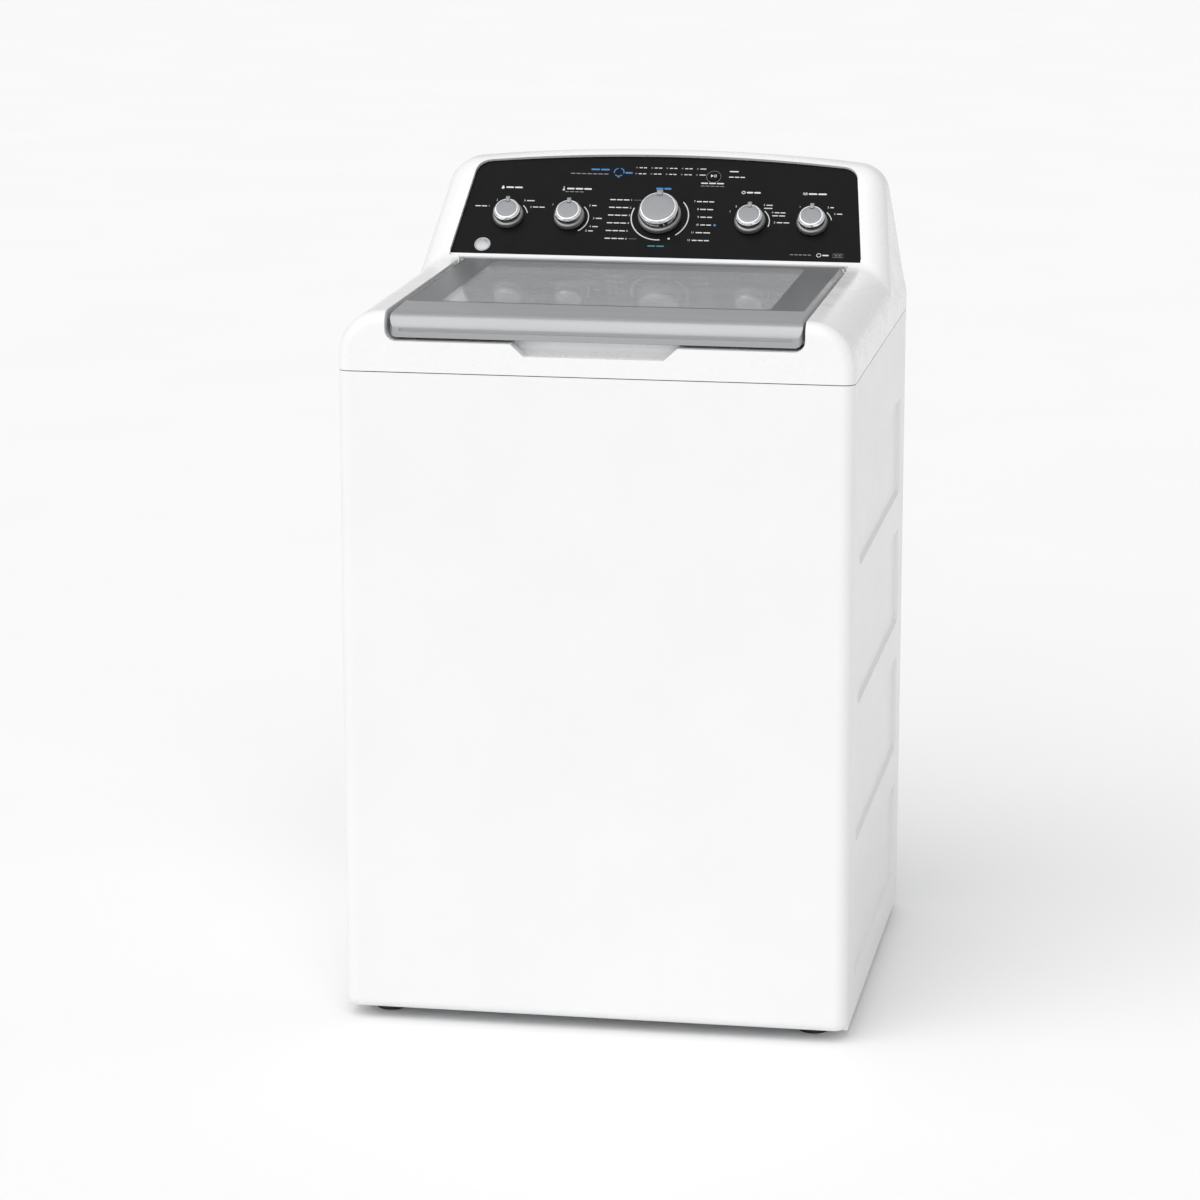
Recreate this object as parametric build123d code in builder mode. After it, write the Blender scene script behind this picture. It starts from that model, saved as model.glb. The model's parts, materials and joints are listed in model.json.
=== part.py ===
"""Top load washing machine: painted steel cabinet, silver lid with a glass window, sloping control
console with five knobs, and the suspended tub, basket, agitator and belt drive inside it.

Row frame, millimetres: +X to the right, the front faces -Y, +Z up, and the origin on the floor at the
middle of the footprint. The names that end in _IN are distances back from the front face.
"""
import os
from math import acos, atan2, cos, degrees, hypot, radians, sin

from build123d import *

os.makedirs("parts", exist_ok=True)

# ---------------------------------------------------------------- driving dimensions
WIDTH = 686.0                   # over the side panels
DEPTH = 650.0                   # front face to the heads of the rear screws
HEIGHT = 1118.0                 # floor to the crest of the console
HALF_W = WIDTH / 2
FRONT = -DEPTH / 2
SCREW_HEAD = 2.0
BACK = DEPTH / 2 - SCREW_HEAD   # outer face of the rear panel
SHEET = 1.0                     # cabinet steel
MOULDING = 2.2                  # walls of the moulded pieces
GAP = 0.3                       # between separate pieces that must not touch

PANEL_Z = 16.0                  # lower edge of the cabinet panels
SEAM_Z = 895.5                  # joint line between the cabinet and the top cover
SEAM_GAP = 1.2
PANEL_TOP = SEAM_Z - SEAM_GAP / 2
COVER_Z = SEAM_Z + SEAM_GAP / 2
DECK_Z = 976.0                  # flat top of the cover
SHOULDER_R = 61.0

PRESS_WALL = 1.6                # flank of a pressed field, measured across the sheet
PRESS_LOW, PRESS_TALL, PRESS_PITCH = 68.0, 139.0, 190.0   # the four pressed fields of each side, from below
FRONT_WRAP = 18.0               # how far the front panel turns back along the sides
FLANGE = 25.0                   # folded edges of the side panels

LID_HALF = 273.0
LID_NOSE_IN = 8.0
LID_GAP = 5.0                   # round the sides of the lid
NOSE_END_IN, NOSE_R = 40.0, 10.0          # depth of the lid's nose, and its rounded lower corners
HINGE_IN, HINGE_Z = 479.0, 968.0
LID_EDGE_R = 10.0               # rounded rear edge of the lid, on the hinge line
LID_TOP = HINGE_Z + LID_EDGE_R
LEDGE_Z = 937.0                 # ledge of the cover under the lid
POCKET_BACK_IN = 492.0
LOAD_HALF, LOAD_IN, LOAD_R = 250.0, (60.0, 470.0), 70.0   # loading opening
SKIRT_Z = 905.0                 # lower edge of the skirt round the loading opening
GLASS_HALF, GLASS_IN, GLASS_T = 266.0, (80.0, 469.0), 4.0

FASCIA_IN, FASCIA_Z = 496.0, 982.0        # lower edge of the fascia
FASCIA_LOW, FASCIA_HIGH = 293.6, 273.5    # half widths at the bottom and the top
FASCIA_SIDE, FASCIA_MID = 163.0, 179.0    # slope length at the corners and at mid arch
FASCIA_T = 3.0
RIM = 5.0                       # the white rim stands this much over the fascia
CONSOLE_TOP_IN = 637.0
ARCH_DROP = 18.5                # fall of the console's crest from the middle to its corners
CAP_SLOPE = (HALF_W, 915.0), (310.3, HEIGHT - ARCH_DROP)

SMALL_KNOBS = {"soil_knob": -218.4, "temperature_knob": -129.8, "options_knob": 129.8, "soak_knob": 218.4}
KNOB_V = 66.5                   # knob centres up the slope of the fascia
CYCLE_V = 72.0
START_AT = (69.4, 145.4)
START_R = 8.5
BUTTON_TRAVEL = 2.0
LENS_COLUMNS = [1.0 + 22.0 * step for step in (-2, -1, 0, 1, 2)]
LENS_ROWS = [148.0, 158.8]

AXIS_Y = -12.0                  # tub axis
TUB_R, TUB_T, TUB_Z, TUB_TOP = 270.0, 3.0, 300.0, 862.0
RING_TOP, RING_BORE = 890.0, 226.0
BASKET_R, BASKET_T, BASKET_Z, BASKET_TOP = 246.0, 1.0, 325.0, 846.0
TUBE_R, TUBE_BORE = 15.0, 9.0
FIT = 0.05                      # radial clearance of shafts and pins in their bores
ROD_AT = (252.0, 224.0)         # suspension rods, out from the tub axis in X and Y
ROD_R = 4.0
SPRING_Z, EAR_Z = 214.0, 296.0  # seats of the suspension springs
BRACE_Z = 862.0
BASE_Z, BASE_TOP, BASE_T = PANEL_Z + SHEET, 62.0, 2.0
FOOT_AT = (292.0, 262.0)
PULLEY_Z, PULLEY_W = 128.0, 18.0
DRIVE_R, MOTOR_R = 100.0, 20.0  # belt radii of the two pulleys
MOTOR_AT = (150.0, AXIS_Y + 100.0)
PUMP_AT = (-170.0, AXIS_Y)
HOSE_X, HOSE_Y, HOSE_Z = -205.0, 292.0, 820.0
HOSE_R, HOSE_T = 12.0, 2.0
VALVE_X, VALVE_Z = -170.0, 1035.0
POCKET_D = 38.0                 # rear cover pocket for the hose threads
THREAD_R, THREAD_LEN, THREAD_PITCH = 13.2, 33.0, 32.0     # hose threads, and half their spacing
COUPLING_R = 18.0               # room round a thread for the nut of a fill hose
FILL_Y, SPOUT_Z, SPOUT_W, SPOUT_H = 266.0, 919.0, 48.0, 14.0
OUTLET_R = 8.0
CORD_X, CORD_BORE = 230.0, 4.5
SPINDLE_R, SPINDLE_LEN = 4.0, 18.0
LINER_Z = 941.0                 # underside of the lid
LOCK_X, LOCK_IN, BOLT_Z = 265.0, 120.0, 922.0
STRIKE_SLOT = (12.0, 30.0)


def back(distance):
    """Row Y of a point that lies this far behind the front face."""
    return FRONT + distance


def keep(piece, label):
    """Label one sub-part and write its STEP file."""
    piece.part.label = label
    export_step(piece.part, f"parts/{label}.step")


def tub_plane(height):
    """Level plane at this height, centred on the tub axis."""
    return Plane((0, AXIS_Y, height))


FASCIA = Plane((0, back(FASCIA_IN), FASCIA_Z), x_dir=(1, 0, 0), z_dir=(0, -1, 1))
FASCIA_AXIS = Axis(FASCIA.origin, FASCIA.z_dir)


# ---------------------------------------------------------------- cabinet
def front_panel():
    """Shallow steel pan: rounded corners that turn back along the sides, and a soft lower edge."""
    corner_r, lower_r = 17.0, 13.0
    with BuildPart() as pan:
        with BuildSketch(Plane.XY.offset(PANEL_Z)):
            with Locations((0, FRONT + FRONT_WRAP / 2)):
                Rectangle(WIDTH, FRONT_WRAP)
        extrude(amount=PANEL_TOP - PANEL_Z)
        front = pan.faces().sort_by(Axis.Y)[0]
        fillet(front.edges().filter_by(Axis.Z), corner_r)
        fillet(pan.faces().sort_by(Axis.Y)[0].edges().sort_by(Axis.Z)[0], lower_r)
        offset(amount=-SHEET, openings=pan.faces().sort_by(Axis.Y)[-1])
    keep(pan, "front_panel")


def side_panels():
    """Folded steel sides with four pressed stiffening panels each."""
    press_depth, press_taper, press_r = 5.0, 40, 14.0
    press_mid, press_long = 337.0, 505.0
    rows = [PRESS_LOW + PRESS_TALL / 2 + PRESS_PITCH * row for row in range(4)]
    front_edge = FRONT + FRONT_WRAP
    rear_edge = BACK - SHEET
    with BuildPart() as right:
        with BuildSketch(Plane.XY.offset(PANEL_Z)):
            with Locations((HALF_W - FLANGE / 2, (front_edge + rear_edge) / 2)):
                Rectangle(FLANGE, rear_edge - front_edge)
        extrude(amount=PANEL_TOP - PANEL_Z)
        outer = right.faces().sort_by(Axis.X)[-1]
        fillet(outer.edges().filter_by(Axis.Z).sort_by(Axis.Y)[-1], 4.0)
        offset(amount=-SHEET, openings=right.faces().sort_by(Axis.X)[0])
        for grow, mode in ((PRESS_WALL, Mode.ADD), (0, Mode.SUBTRACT)):
            with BuildSketch(Plane((HALF_W, 0, 0), x_dir=(0, 1, 0), z_dir=(1, 0, 0))):
                for middle in rows:
                    with Locations((back(press_mid), middle)):
                        RectangleRounded(press_long + 2 * grow, PRESS_TALL + 2 * grow, press_r + grow)
            extrude(amount=-(press_depth + (SHEET if grow else 0)), taper=press_taper, mode=mode)
    keep(right, "right_side_panel")
    with BuildPart() as left:
        add(mirror(right.part, about=Plane.YZ))
    keep(left, "left_side_panel")


def rear_panel():
    """Flat back sheet with two raised stiffening fields, the hose outlet and the cord hole."""
    field_depth = 4.0
    plane = Plane.XZ.offset(-BACK)
    with BuildPart() as sheet:
        with BuildSketch(plane):
            with Locations((0, (PANEL_Z + PANEL_TOP) / 2)):
                RectangleRounded(WIDTH - 6, PANEL_TOP - PANEL_Z, 4)
        extrude(amount=SHEET)
        for grow, mode in ((PRESS_WALL, Mode.ADD), (0, Mode.SUBTRACT)):
            with BuildSketch(plane):
                with Locations((0, 235), (0, 590)):
                    RectangleRounded(500 + 2 * grow, 300 + 2 * grow, 30 + grow)
            extrude(amount=field_depth + (SHEET if grow else 0), taper=40, mode=mode)
        with BuildSketch(plane):
            with Locations((HOSE_X, HOSE_Z)):
                Circle(22)
            with Locations((CORD_X, HOSE_Z)):
                Circle(9)
        extrude(amount=SHEET, mode=Mode.SUBTRACT)
    keep(sheet, "rear_panel")
    with BuildPart() as gland:
        with BuildSketch(Plane.XZ.offset(-(BACK + 1.8))):
            with Locations((CORD_X, HOSE_Z)):
                Circle(13)
        extrude(amount=1.8)
        with BuildSketch(plane):
            with Locations((CORD_X, HOSE_Z)):
                Circle(9)
        extrude(amount=12)
        with BuildSketch(Plane.XZ.offset(-(BACK - 12))):
            with Locations((CORD_X, HOSE_Z)):
                Circle(CORD_BORE)
        extrude(amount=-20, mode=Mode.SUBTRACT)
    keep(gland, "cord_gland")


def base_frame():
    """Folded steel base ring with a threaded boss over each leveling foot."""
    length = BACK - SHEET - (FRONT + FRONT_WRAP) - 2 * (SHEET + GAP)
    middle = (BACK - SHEET + FRONT + FRONT_WRAP) / 2
    ring = 78.0
    wide = WIDTH - 2 * SHEET - 2 * GAP
    with BuildPart() as base:
        with BuildSketch(Plane((0, middle, BASE_Z))):
            Rectangle(wide, length)
        extrude(amount=BASE_TOP - BASE_Z)
        fillet(base.edges().filter_by(Axis.Z), 6)
        offset(amount=-BASE_T, openings=base.faces().sort_by(Axis.Z)[-1])
        with BuildSketch(Plane((0, middle, BASE_Z))):
            RectangleRounded(wide - 2 * ring, length - 2 * ring, 30)
        extrude(amount=BASE_T, mode=Mode.SUBTRACT)
        with BuildSketch(Plane.XY.offset(BASE_Z)):
            with GridLocations(2 * FOOT_AT[0], 2 * FOOT_AT[1], 2, 2):
                Circle(14)
        extrude(amount=22)
        with BuildSketch(Plane.XY.offset(BASE_Z)):
            with GridLocations(2 * FOOT_AT[0], 2 * FOOT_AT[1], 2, 2):
                Circle(5)
        extrude(amount=22, mode=Mode.SUBTRACT)
    keep(base, "base_frame")


def leveling_feet():
    """Four rubber-soled feet on threaded shanks, and the locknuts that hold them."""
    names = {(-1, -1): "front_left", (1, -1): "front_right", (-1, 1): "rear_left", (1, 1): "rear_right"}
    pad_r, pad_h, shank_top = 21.0, 8.0, 56.0
    for (side, end), place in names.items():
        centre = Plane((side * FOOT_AT[0], end * FOOT_AT[1], 0))
        with BuildPart() as foot:
            with BuildSketch(centre):
                Circle(pad_r)
            extrude(amount=pad_h)
            chamfer(foot.edges().sort_by(Axis.Z)[-1], 3)
            fillet(foot.edges().sort_by(Axis.Z)[0], 1.5)
            with BuildSketch(centre.offset(pad_h)):
                Circle(5 - FIT)
            extrude(amount=shank_top - pad_h)
            chamfer(foot.edges().sort_by(Axis.Z)[-1], 1)
        keep(foot, f"leveling_foot_{place}")
    with BuildPart() as nuts:
        with BuildSketch(Plane.XY.offset(BASE_Z)):
            with GridLocations(2 * FOOT_AT[0], 2 * FOOT_AT[1], 2, 2):
                RegularPolygon(9, 6)
                Circle(5, mode=Mode.SUBTRACT)
        extrude(amount=-(BASE_Z - pad_h - 1))
    keep(nuts, "leg_locknuts")


def corner_braces():
    """Pressed gussets in the four upper corners; the suspension rods hang from them."""
    thickness, lip = 3.0, 16.0
    with BuildPart() as braces:
        with BuildSketch(Plane.XY.offset(BRACE_Z)):
            for side in (-1, 1):
                for end, wall in ((-1, FRONT + FRONT_WRAP), (1, BACK - SHEET)):
                    corner_x, corner_y = side * (HALF_W - SHEET - GAP), wall - end * (SHEET + 4)
                    with BuildLine():
                        Polyline(
                            (corner_x, corner_y),
                            (corner_x - side * 170, corner_y),
                            (corner_x - side * 170, corner_y - end * 30),
                            (corner_x - side * 30, corner_y - end * 190),
                            (corner_x, corner_y - end * 190),
                            close=True,
                        )
                    make_face()
        extrude(amount=thickness)
        with BuildSketch(Plane.XY.offset(BRACE_Z)):
            for side in (-1, 1):
                for end in (-1, 1):
                    with Locations((side * ROD_AT[0], AXIS_Y + end * ROD_AT[1])):
                        Circle(ROD_R + 1)
        extrude(amount=thickness, mode=Mode.SUBTRACT)
        for side in (-1, 1):
            with BuildSketch(Plane.XY.offset(BRACE_Z - lip)):
                for end, wall in ((-1, FRONT + FRONT_WRAP), (1, BACK - SHEET)):
                    edge = wall - end * (SHEET + 4 + 95)
                    with Locations((side * (HALF_W - SHEET - GAP - thickness / 2), edge)):
                        Rectangle(thickness, 190)
            extrude(amount=lip)
    keep(braces, "corner_braces")


# ---------------------------------------------------------------- top cover and console shell
def cap_outline(inset):
    """Front view of the console: sides that lean in, soft corners and an arched crest."""
    (low_x, low_z), (high_x, high_z) = CAP_SLOPE
    with BuildSketch(Plane.XZ.offset(-BACK)) as outline:
        with BuildLine():
            Polyline(
                (-high_x + inset, high_z - inset),
                (-low_x + inset, low_z),
                (-low_x + inset, COVER_Z),
                (low_x - inset, COVER_Z),
                (low_x - inset, low_z),
                (high_x - inset, high_z - inset),
            )
            ThreePointArc(
                (high_x - inset, high_z - inset), (0, HEIGHT - inset), (-high_x + inset, high_z - inset)
            )
        make_face()
        fillet(outline.vertices().group_by(Axis.Y)[-1], 45 - inset)
    return outline.sketch


def console_block(inset):
    """The raised console: its sloping front plane, crest and back, cut to the front-view outline."""
    rim = RIM - inset
    slope = rim * 2 ** 0.5
    crest = HEIGHT - inset
    foot_z = LEDGE_Z
    line = FASCIA_Z + slope - FASCIA_IN       # height minus setback along the rim plane
    with BuildPart() as block:
        with BuildSketch(Plane.YZ.offset(-HALF_W)):
            with BuildLine():
                Polyline(
                    (back(foot_z - line), foot_z),
                    (back(crest - line), crest),
                    (back(CONSOLE_TOP_IN), crest),
                    (BACK, crest - 11),
                    (BACK, COVER_Z),
                    (back(foot_z - line), COVER_Z),
                    close=True,
                )
            make_face()
        extrude(amount=WIDTH)
        extrude(to_extrude=cap_outline(inset), amount=DEPTH, mode=Mode.INTERSECT)
        rim_face = block.faces().filter_by(lambda f: f.normal_at().Y < -0.6).sort_by(Axis.Z)[-1]
        soft = rim_face.edges().filter_by(lambda e: e.center().Z > foot_z + 2)
        fillet(soft, 30 - inset)
    return block.part


def deck_block(inset):
    """The cover's box section: straight sides, quarter-round shoulders, flat top, soft front edge."""
    half, top, radius = HALF_W - inset, DECK_Z - inset, SHOULDER_R - inset
    front_r = 16.0
    with BuildPart() as block:
        with BuildSketch(Plane.XZ.offset(-BACK)):
            with BuildLine():
                Polyline((-half, top - radius), (-half, COVER_Z), (half, COVER_Z), (half, top - radius))
                RadiusArc((half, top - radius), (half - radius, top), -radius)
                Line((half - radius, top), (radius - half, top))
                RadiusArc((radius - half, top), (-half, top - radius), -radius)
            make_face()
        extrude(amount=BACK - FRONT - inset)
        front = block.faces().sort_by(Axis.Y)[0]
        fillet(front.edges().filter_by(lambda e: e.center().Z > COVER_Z + 5), front_r - inset)
    return block.part


def cover_block(inset):
    """Deck and console in one, with a soft valley where the shoulders rise into the console."""
    valley_r = 26.0
    low_z, high_z = DECK_Z - SHOULDER_R + 15, DECK_Z + 4
    with BuildPart() as block:
        add(deck_block(inset))
        add(console_block(inset))
        behind = block.edges().filter_by(lambda e: back(HINGE_IN - 40) < e.center().Y < BACK - 3)
        crease = behind.filter_by(lambda e: low_z < e.center().Z < high_z)
        fillet(crease, valley_r + inset)
    return block.part


def nose_corners(half, low, corner_r, end_in):
    """What a rounding of this radius takes off both lower corners, as far back as the nose goes."""
    middle = half - corner_r / 2
    with BuildPart() as corners:
        with BuildSketch(Plane.XZ.offset(-back(end_in))):
            with Locations((-middle, low + corner_r / 2), (middle, low + corner_r / 2)):
                Rectangle(corner_r, corner_r)
            with Locations((corner_r - half, low + corner_r), (half - corner_r, low + corner_r)):
                Circle(corner_r, mode=Mode.SUBTRACT)
        extrude(amount=2 * NOSE_END_IN)
    return corners.part


def lid_pocket(grow, floor):
    """Space that the lid lies in, open at the front and above."""
    half = LID_HALF + LID_GAP + grow
    with BuildPart() as pocket:
        with BuildSketch(Plane.XY.offset(floor - grow)) as plan:
            with Locations((0, back(POCKET_BACK_IN / 2 - 40 + grow / 2))):
                Rectangle(2 * half, POCKET_BACK_IN + 80 + grow)
            fillet(plan.vertices().group_by(Axis.Y)[-1], 4 + grow)
        extrude(amount=HEIGHT - floor)
        corner_r, end_in = NOSE_R + LID_GAP + grow, NOSE_END_IN - 3 - grow
        add(nose_corners(half, floor - grow, corner_r, end_in), mode=Mode.SUBTRACT)
    return pocket.part


def loading_hole(grow, low):
    """The rounded opening that laundry goes through, down to the skirt's lower edge."""
    middle = (LOAD_IN[0] + LOAD_IN[1]) / 2
    with BuildPart() as hole:
        with BuildSketch(Plane((0, back(middle), low))):
            RectangleRounded(
                2 * (LOAD_HALF + grow), LOAD_IN[1] - LOAD_IN[0] + 2 * grow, LOAD_R + grow
            )
        extrude(amount=DECK_Z - low)
    return hole.part


def finger_scoop(grow):
    """Hand recess in the cover's front face, under the nose of the lid."""
    top_half, low_half, low_z, depth = 111.7, 93.0, 921.0, 30.0
    with BuildPart() as scoop:
        with BuildSketch(Plane.XZ.offset(-(back(depth + grow)))):
            with BuildLine():
                Polyline(
                    (-top_half - grow, LEDGE_Z + 1),
                    (-low_half - grow, low_z - grow),
                    (low_half + grow, low_z - grow),
                    (top_half + grow, LEDGE_Z + 1),
                    close=True,
                )
            make_face()
        extrude(amount=depth + grow + 1)
        rear = scoop.faces().sort_by(Axis.Y)[-1]
        fillet(rear.edges().sort_by(Axis.Z)[0], 12 + grow)
    return scoop.part


def fascia_outline(grow, drop=0.0, low=0.0):
    """Fascia shape in its own plane: leaning sides, rounded upper corners and an arched top."""
    with BuildSketch(FASCIA.offset(low)) as outline:
        with BuildLine():
            Polyline(
                (-FASCIA_HIGH - grow, FASCIA_SIDE + grow),
                (-FASCIA_LOW - grow, -drop),
                (FASCIA_LOW + grow, -drop),
                (FASCIA_HIGH + grow, FASCIA_SIDE + grow),
            )
            ThreePointArc(
                (FASCIA_HIGH + grow, FASCIA_SIDE + grow), (0, FASCIA_MID + grow),
                (-FASCIA_HIGH - grow, FASCIA_SIDE + grow),
            )
        make_face()
        fillet(outline.vertices().group_by(Axis.Y)[-1], 24 + grow)
        fillet(outline.vertices().group_by(Axis.Y)[0], 2.5)
    return outline.sketch


def top_cover():
    """One-piece cover: deck, shoulders and console shell, with the lid pocket and loading opening."""
    walls = MOULDING
    hinge_reach = LID_HALF + LID_GAP + 8
    hinge_line = Plane((0, back(HINGE_IN), HINGE_Z), x_dir=(0, 1, 0), z_dir=(1, 0, 0))
    with BuildPart() as cavity:
        add(cover_block(walls))
        add(lid_pocket(walls, LEDGE_Z), mode=Mode.SUBTRACT)
        add(loading_hole(walls, SKIRT_Z), mode=Mode.SUBTRACT)
        add(finger_scoop(walls), mode=Mode.SUBTRACT)
        extrude(to_extrude=fascia_outline(GAP + walls, 10, -FASCIA_T - walls), amount=60, mode=Mode.SUBTRACT)
    with BuildPart() as cover:
        add(cover_block(0))
        add(lid_pocket(0, LEDGE_Z), mode=Mode.SUBTRACT)
        add(loading_hole(0, COVER_Z - 1), mode=Mode.SUBTRACT)
        add(finger_scoop(0), mode=Mode.SUBTRACT)
        extrude(to_extrude=fascia_outline(GAP, GAP, -FASCIA_T), amount=60, mode=Mode.SUBTRACT)
        extrude(to_extrude=fascia_outline(GAP, 8), amount=60, mode=Mode.SUBTRACT)
        extrude(to_extrude=fascia_outline(-14, -14), amount=-FASCIA_T - walls, mode=Mode.SUBTRACT)
        add(cavity.part, mode=Mode.SUBTRACT)
        with BuildSketch(hinge_line.offset(-hinge_reach)):
            Circle(7)
        extrude(amount=2 * hinge_reach, mode=Mode.SUBTRACT)
        with BuildSketch(Plane((LOCK_X, back(LOCK_IN), LEDGE_Z))):
            RectangleRounded(*STRIKE_SLOT, 2)
        extrude(amount=-walls, mode=Mode.SUBTRACT)
        with BuildSketch(Plane.XZ.offset(-back(LOAD_IN[1] + 5))):
            with Locations((0, SPOUT_Z)):
                RectangleRounded(SPOUT_W, SPOUT_H, 3)
        extrude(amount=15, mode=Mode.SUBTRACT)
    keep(cover, "top_cover")


def hinge_parts():
    """Nylon bushings in the cover's side walls, and the steel pins of the lid that turn in them."""
    bushing_len, pin_r, pin_in = 7.0, 4.0, 14.0
    hinge = Plane((0, back(HINGE_IN), HINGE_Z), x_dir=(0, 1, 0), z_dir=(1, 0, 0))
    wall = LID_HALF + LID_GAP
    with BuildPart() as bushings:
        for side in (-1, 1):
            with BuildSketch(hinge.offset(side * wall)):
                Circle(7)
                Circle(pin_r + FIT, mode=Mode.SUBTRACT)
            extrude(amount=side * bushing_len)
            with BuildSketch(hinge.offset(side * wall)):
                Circle(8.5)
                Circle(pin_r + FIT, mode=Mode.SUBTRACT)
            extrude(amount=-side * 1.5)
    keep(bushings, "hinge_bushings")
    with BuildPart() as pins:
        for side in (-1, 1):
            with BuildSketch(hinge.offset(side * (LID_HALF - pin_in))):
                Circle(pin_r)
            extrude(amount=side * (pin_in + LID_GAP + bushing_len))
    keep(pins, "lid_hinge_pins")


def console_rear_cover():
    """Sheet that closes the back of the console, with a pocket round the hose threads."""
    sheet = 1.2
    middle = Plane.XZ.offset(-BACK)
    with BuildPart() as cover:
        add(console_block(MOULDING + GAP))
        with BuildSketch(middle.offset(sheet)):
            with Locations((0, (COVER_Z + HEIGHT) / 2)):
                Rectangle(WIDTH, HEIGHT - COVER_Z + 2)
        extrude(amount=DEPTH, mode=Mode.SUBTRACT)
        with BuildSketch(middle):
            with Locations((VALVE_X, VALVE_Z)):
                RectangleRounded(132, 56, 6)
        extrude(amount=POCKET_D + sheet)
        with BuildSketch(middle):
            with Locations((VALVE_X, VALVE_Z)):
                RectangleRounded(132 - 2 * sheet, 56 - 2 * sheet, 5)
        extrude(amount=POCKET_D, mode=Mode.SUBTRACT)
        with BuildSketch(middle.offset(POCKET_D)):
            with Locations((VALVE_X - THREAD_PITCH, VALVE_Z), (VALVE_X + THREAD_PITCH, VALVE_Z)):
                Circle(COUPLING_R)
        extrude(amount=sheet, mode=Mode.SUBTRACT)
    keep(cover, "console_rear_cover")


def water_inlet():
    """Twin solenoid valve with its hose threads, the fill hose, and the spout over the tub."""
    face = Plane.XZ.offset(-(BACK - POCKET_D - 1.2))
    body_d, body_h = 34.0, 30.0
    with BuildPart() as valve:
        with BuildSketch(face):
            with Locations((VALVE_X, VALVE_Z - 4)):
                RectangleRounded(112, body_h, 5)
        extrude(amount=body_d)
        with BuildSketch(face):
            with Locations((VALVE_X, VALVE_Z)):
                RectangleRounded(112, 48, 5)
        extrude(amount=3)
        with BuildSketch(face):
            with Locations((VALVE_X - THREAD_PITCH, VALVE_Z), (VALVE_X + THREAD_PITCH, VALVE_Z)):
                Circle(THREAD_R)
        extrude(amount=-THREAD_LEN)
        with BuildSketch(face.offset(-THREAD_LEN)):
            with Locations((VALVE_X - THREAD_PITCH, VALVE_Z), (VALVE_X + THREAD_PITCH, VALVE_Z)):
                Circle(9)
        extrude(amount=THREAD_LEN - 2, mode=Mode.SUBTRACT)
        with BuildSketch(Plane.XY.offset(VALVE_Z - 4 - body_h / 2)):
            with Locations((VALVE_X, FILL_Y)):
                Circle(7)
        extrude(amount=-8)
    keep(valve, "water_inlet_valve")

    spout_y = back(LOAD_IN[1])
    top_z = VALVE_Z - 4 - body_h / 2 - 8
    with BuildPart() as hose:
        with BuildLine() as route:
            FilletPolyline(
                (VALVE_X, FILL_Y, top_z), (VALVE_X, FILL_Y, SPOUT_Z), (0, FILL_Y, SPOUT_Z),
                (0, spout_y + 22, SPOUT_Z), radius=26,
            )
        with BuildSketch(Plane((VALVE_X, FILL_Y, top_z), z_dir=(0, 0, -1))):
            Circle(8)
            Circle(6, mode=Mode.SUBTRACT)
        sweep(path=route.wires()[0])
    keep(hose, "fill_hose")

    with BuildPart() as spout:
        with BuildSketch(Plane.XZ.offset(-(spout_y + 22))):
            with Locations((0, SPOUT_Z)):
                RectangleRounded(64, 22, 4)
        extrude(amount=22 - MOULDING)
        with BuildSketch(Plane.XZ.offset(-(spout_y + MOULDING))):
            with Locations((0, SPOUT_Z)):
                RectangleRounded(SPOUT_W, SPOUT_H, 3)
        extrude(amount=14)
        with BuildSketch(Plane.XZ.offset(-(spout_y + 18))):
            with Locations((0, SPOUT_Z)):
                RectangleRounded(SPOUT_W - 5, SPOUT_H - 4, 2)
        extrude(amount=40, mode=Mode.SUBTRACT)
        with BuildSketch(Plane.XZ.offset(-(spout_y + 22))):
            with Locations((0, SPOUT_Z)):
                Circle(6)
        extrude(amount=6, mode=Mode.SUBTRACT)
    keep(spout, "inlet_spout")


def lid_lock():
    """Lock body under the cover's right ledge, its sliding bolt, and the lid's strike."""
    centre = (LOCK_X, back(LOCK_IN))
    top = LEDGE_Z - MOULDING
    with BuildPart() as housing:
        with BuildSketch(Plane((LOCK_X + 18, centre[1], top))):
            RectangleRounded(60, 50, 4)
        extrude(amount=-30)
        with BuildSketch(Plane((LOCK_X, centre[1], top))):
            RectangleRounded(STRIKE_SLOT[0], STRIKE_SLOT[1], 2)
        extrude(amount=-24, mode=Mode.SUBTRACT)
        with BuildSketch(Plane((LOCK_X, centre[1], BOLT_Z), x_dir=(0, 1, 0), z_dir=(1, 0, 0))):
            Rectangle(8.6, 8.6)
        extrude(amount=40, mode=Mode.SUBTRACT)
    keep(housing, "lid_lock_housing")
    with BuildPart() as bolt:
        with BuildSketch(Plane((LOCK_X + 7.5, centre[1], BOLT_Z), x_dir=(0, 1, 0), z_dir=(1, 0, 0))):
            Rectangle(8, 8)
        extrude(amount=30)
        chamfer(bolt.faces().sort_by(Axis.X)[0].edges(), 1)
    keep(bolt, "lid_lock_bolt")
    with BuildPart() as strike:
        with BuildSketch(Plane((LOCK_X, centre[1], LINER_Z))):
            Rectangle(4, 18)
        extrude(amount=-(LINER_Z - BOLT_Z + 7))
        with BuildSketch(Plane((LOCK_X, centre[1], BOLT_Z), x_dir=(0, 1, 0), z_dir=(1, 0, 0))):
            Rectangle(9.2, 9.2)
        extrude(amount=4, both=True, mode=Mode.SUBTRACT)
        fillet(strike.faces().sort_by(Axis.Z)[0].edges().filter_by(Axis.X), 2.5)
    keep(strike, "lid_strike")


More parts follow.
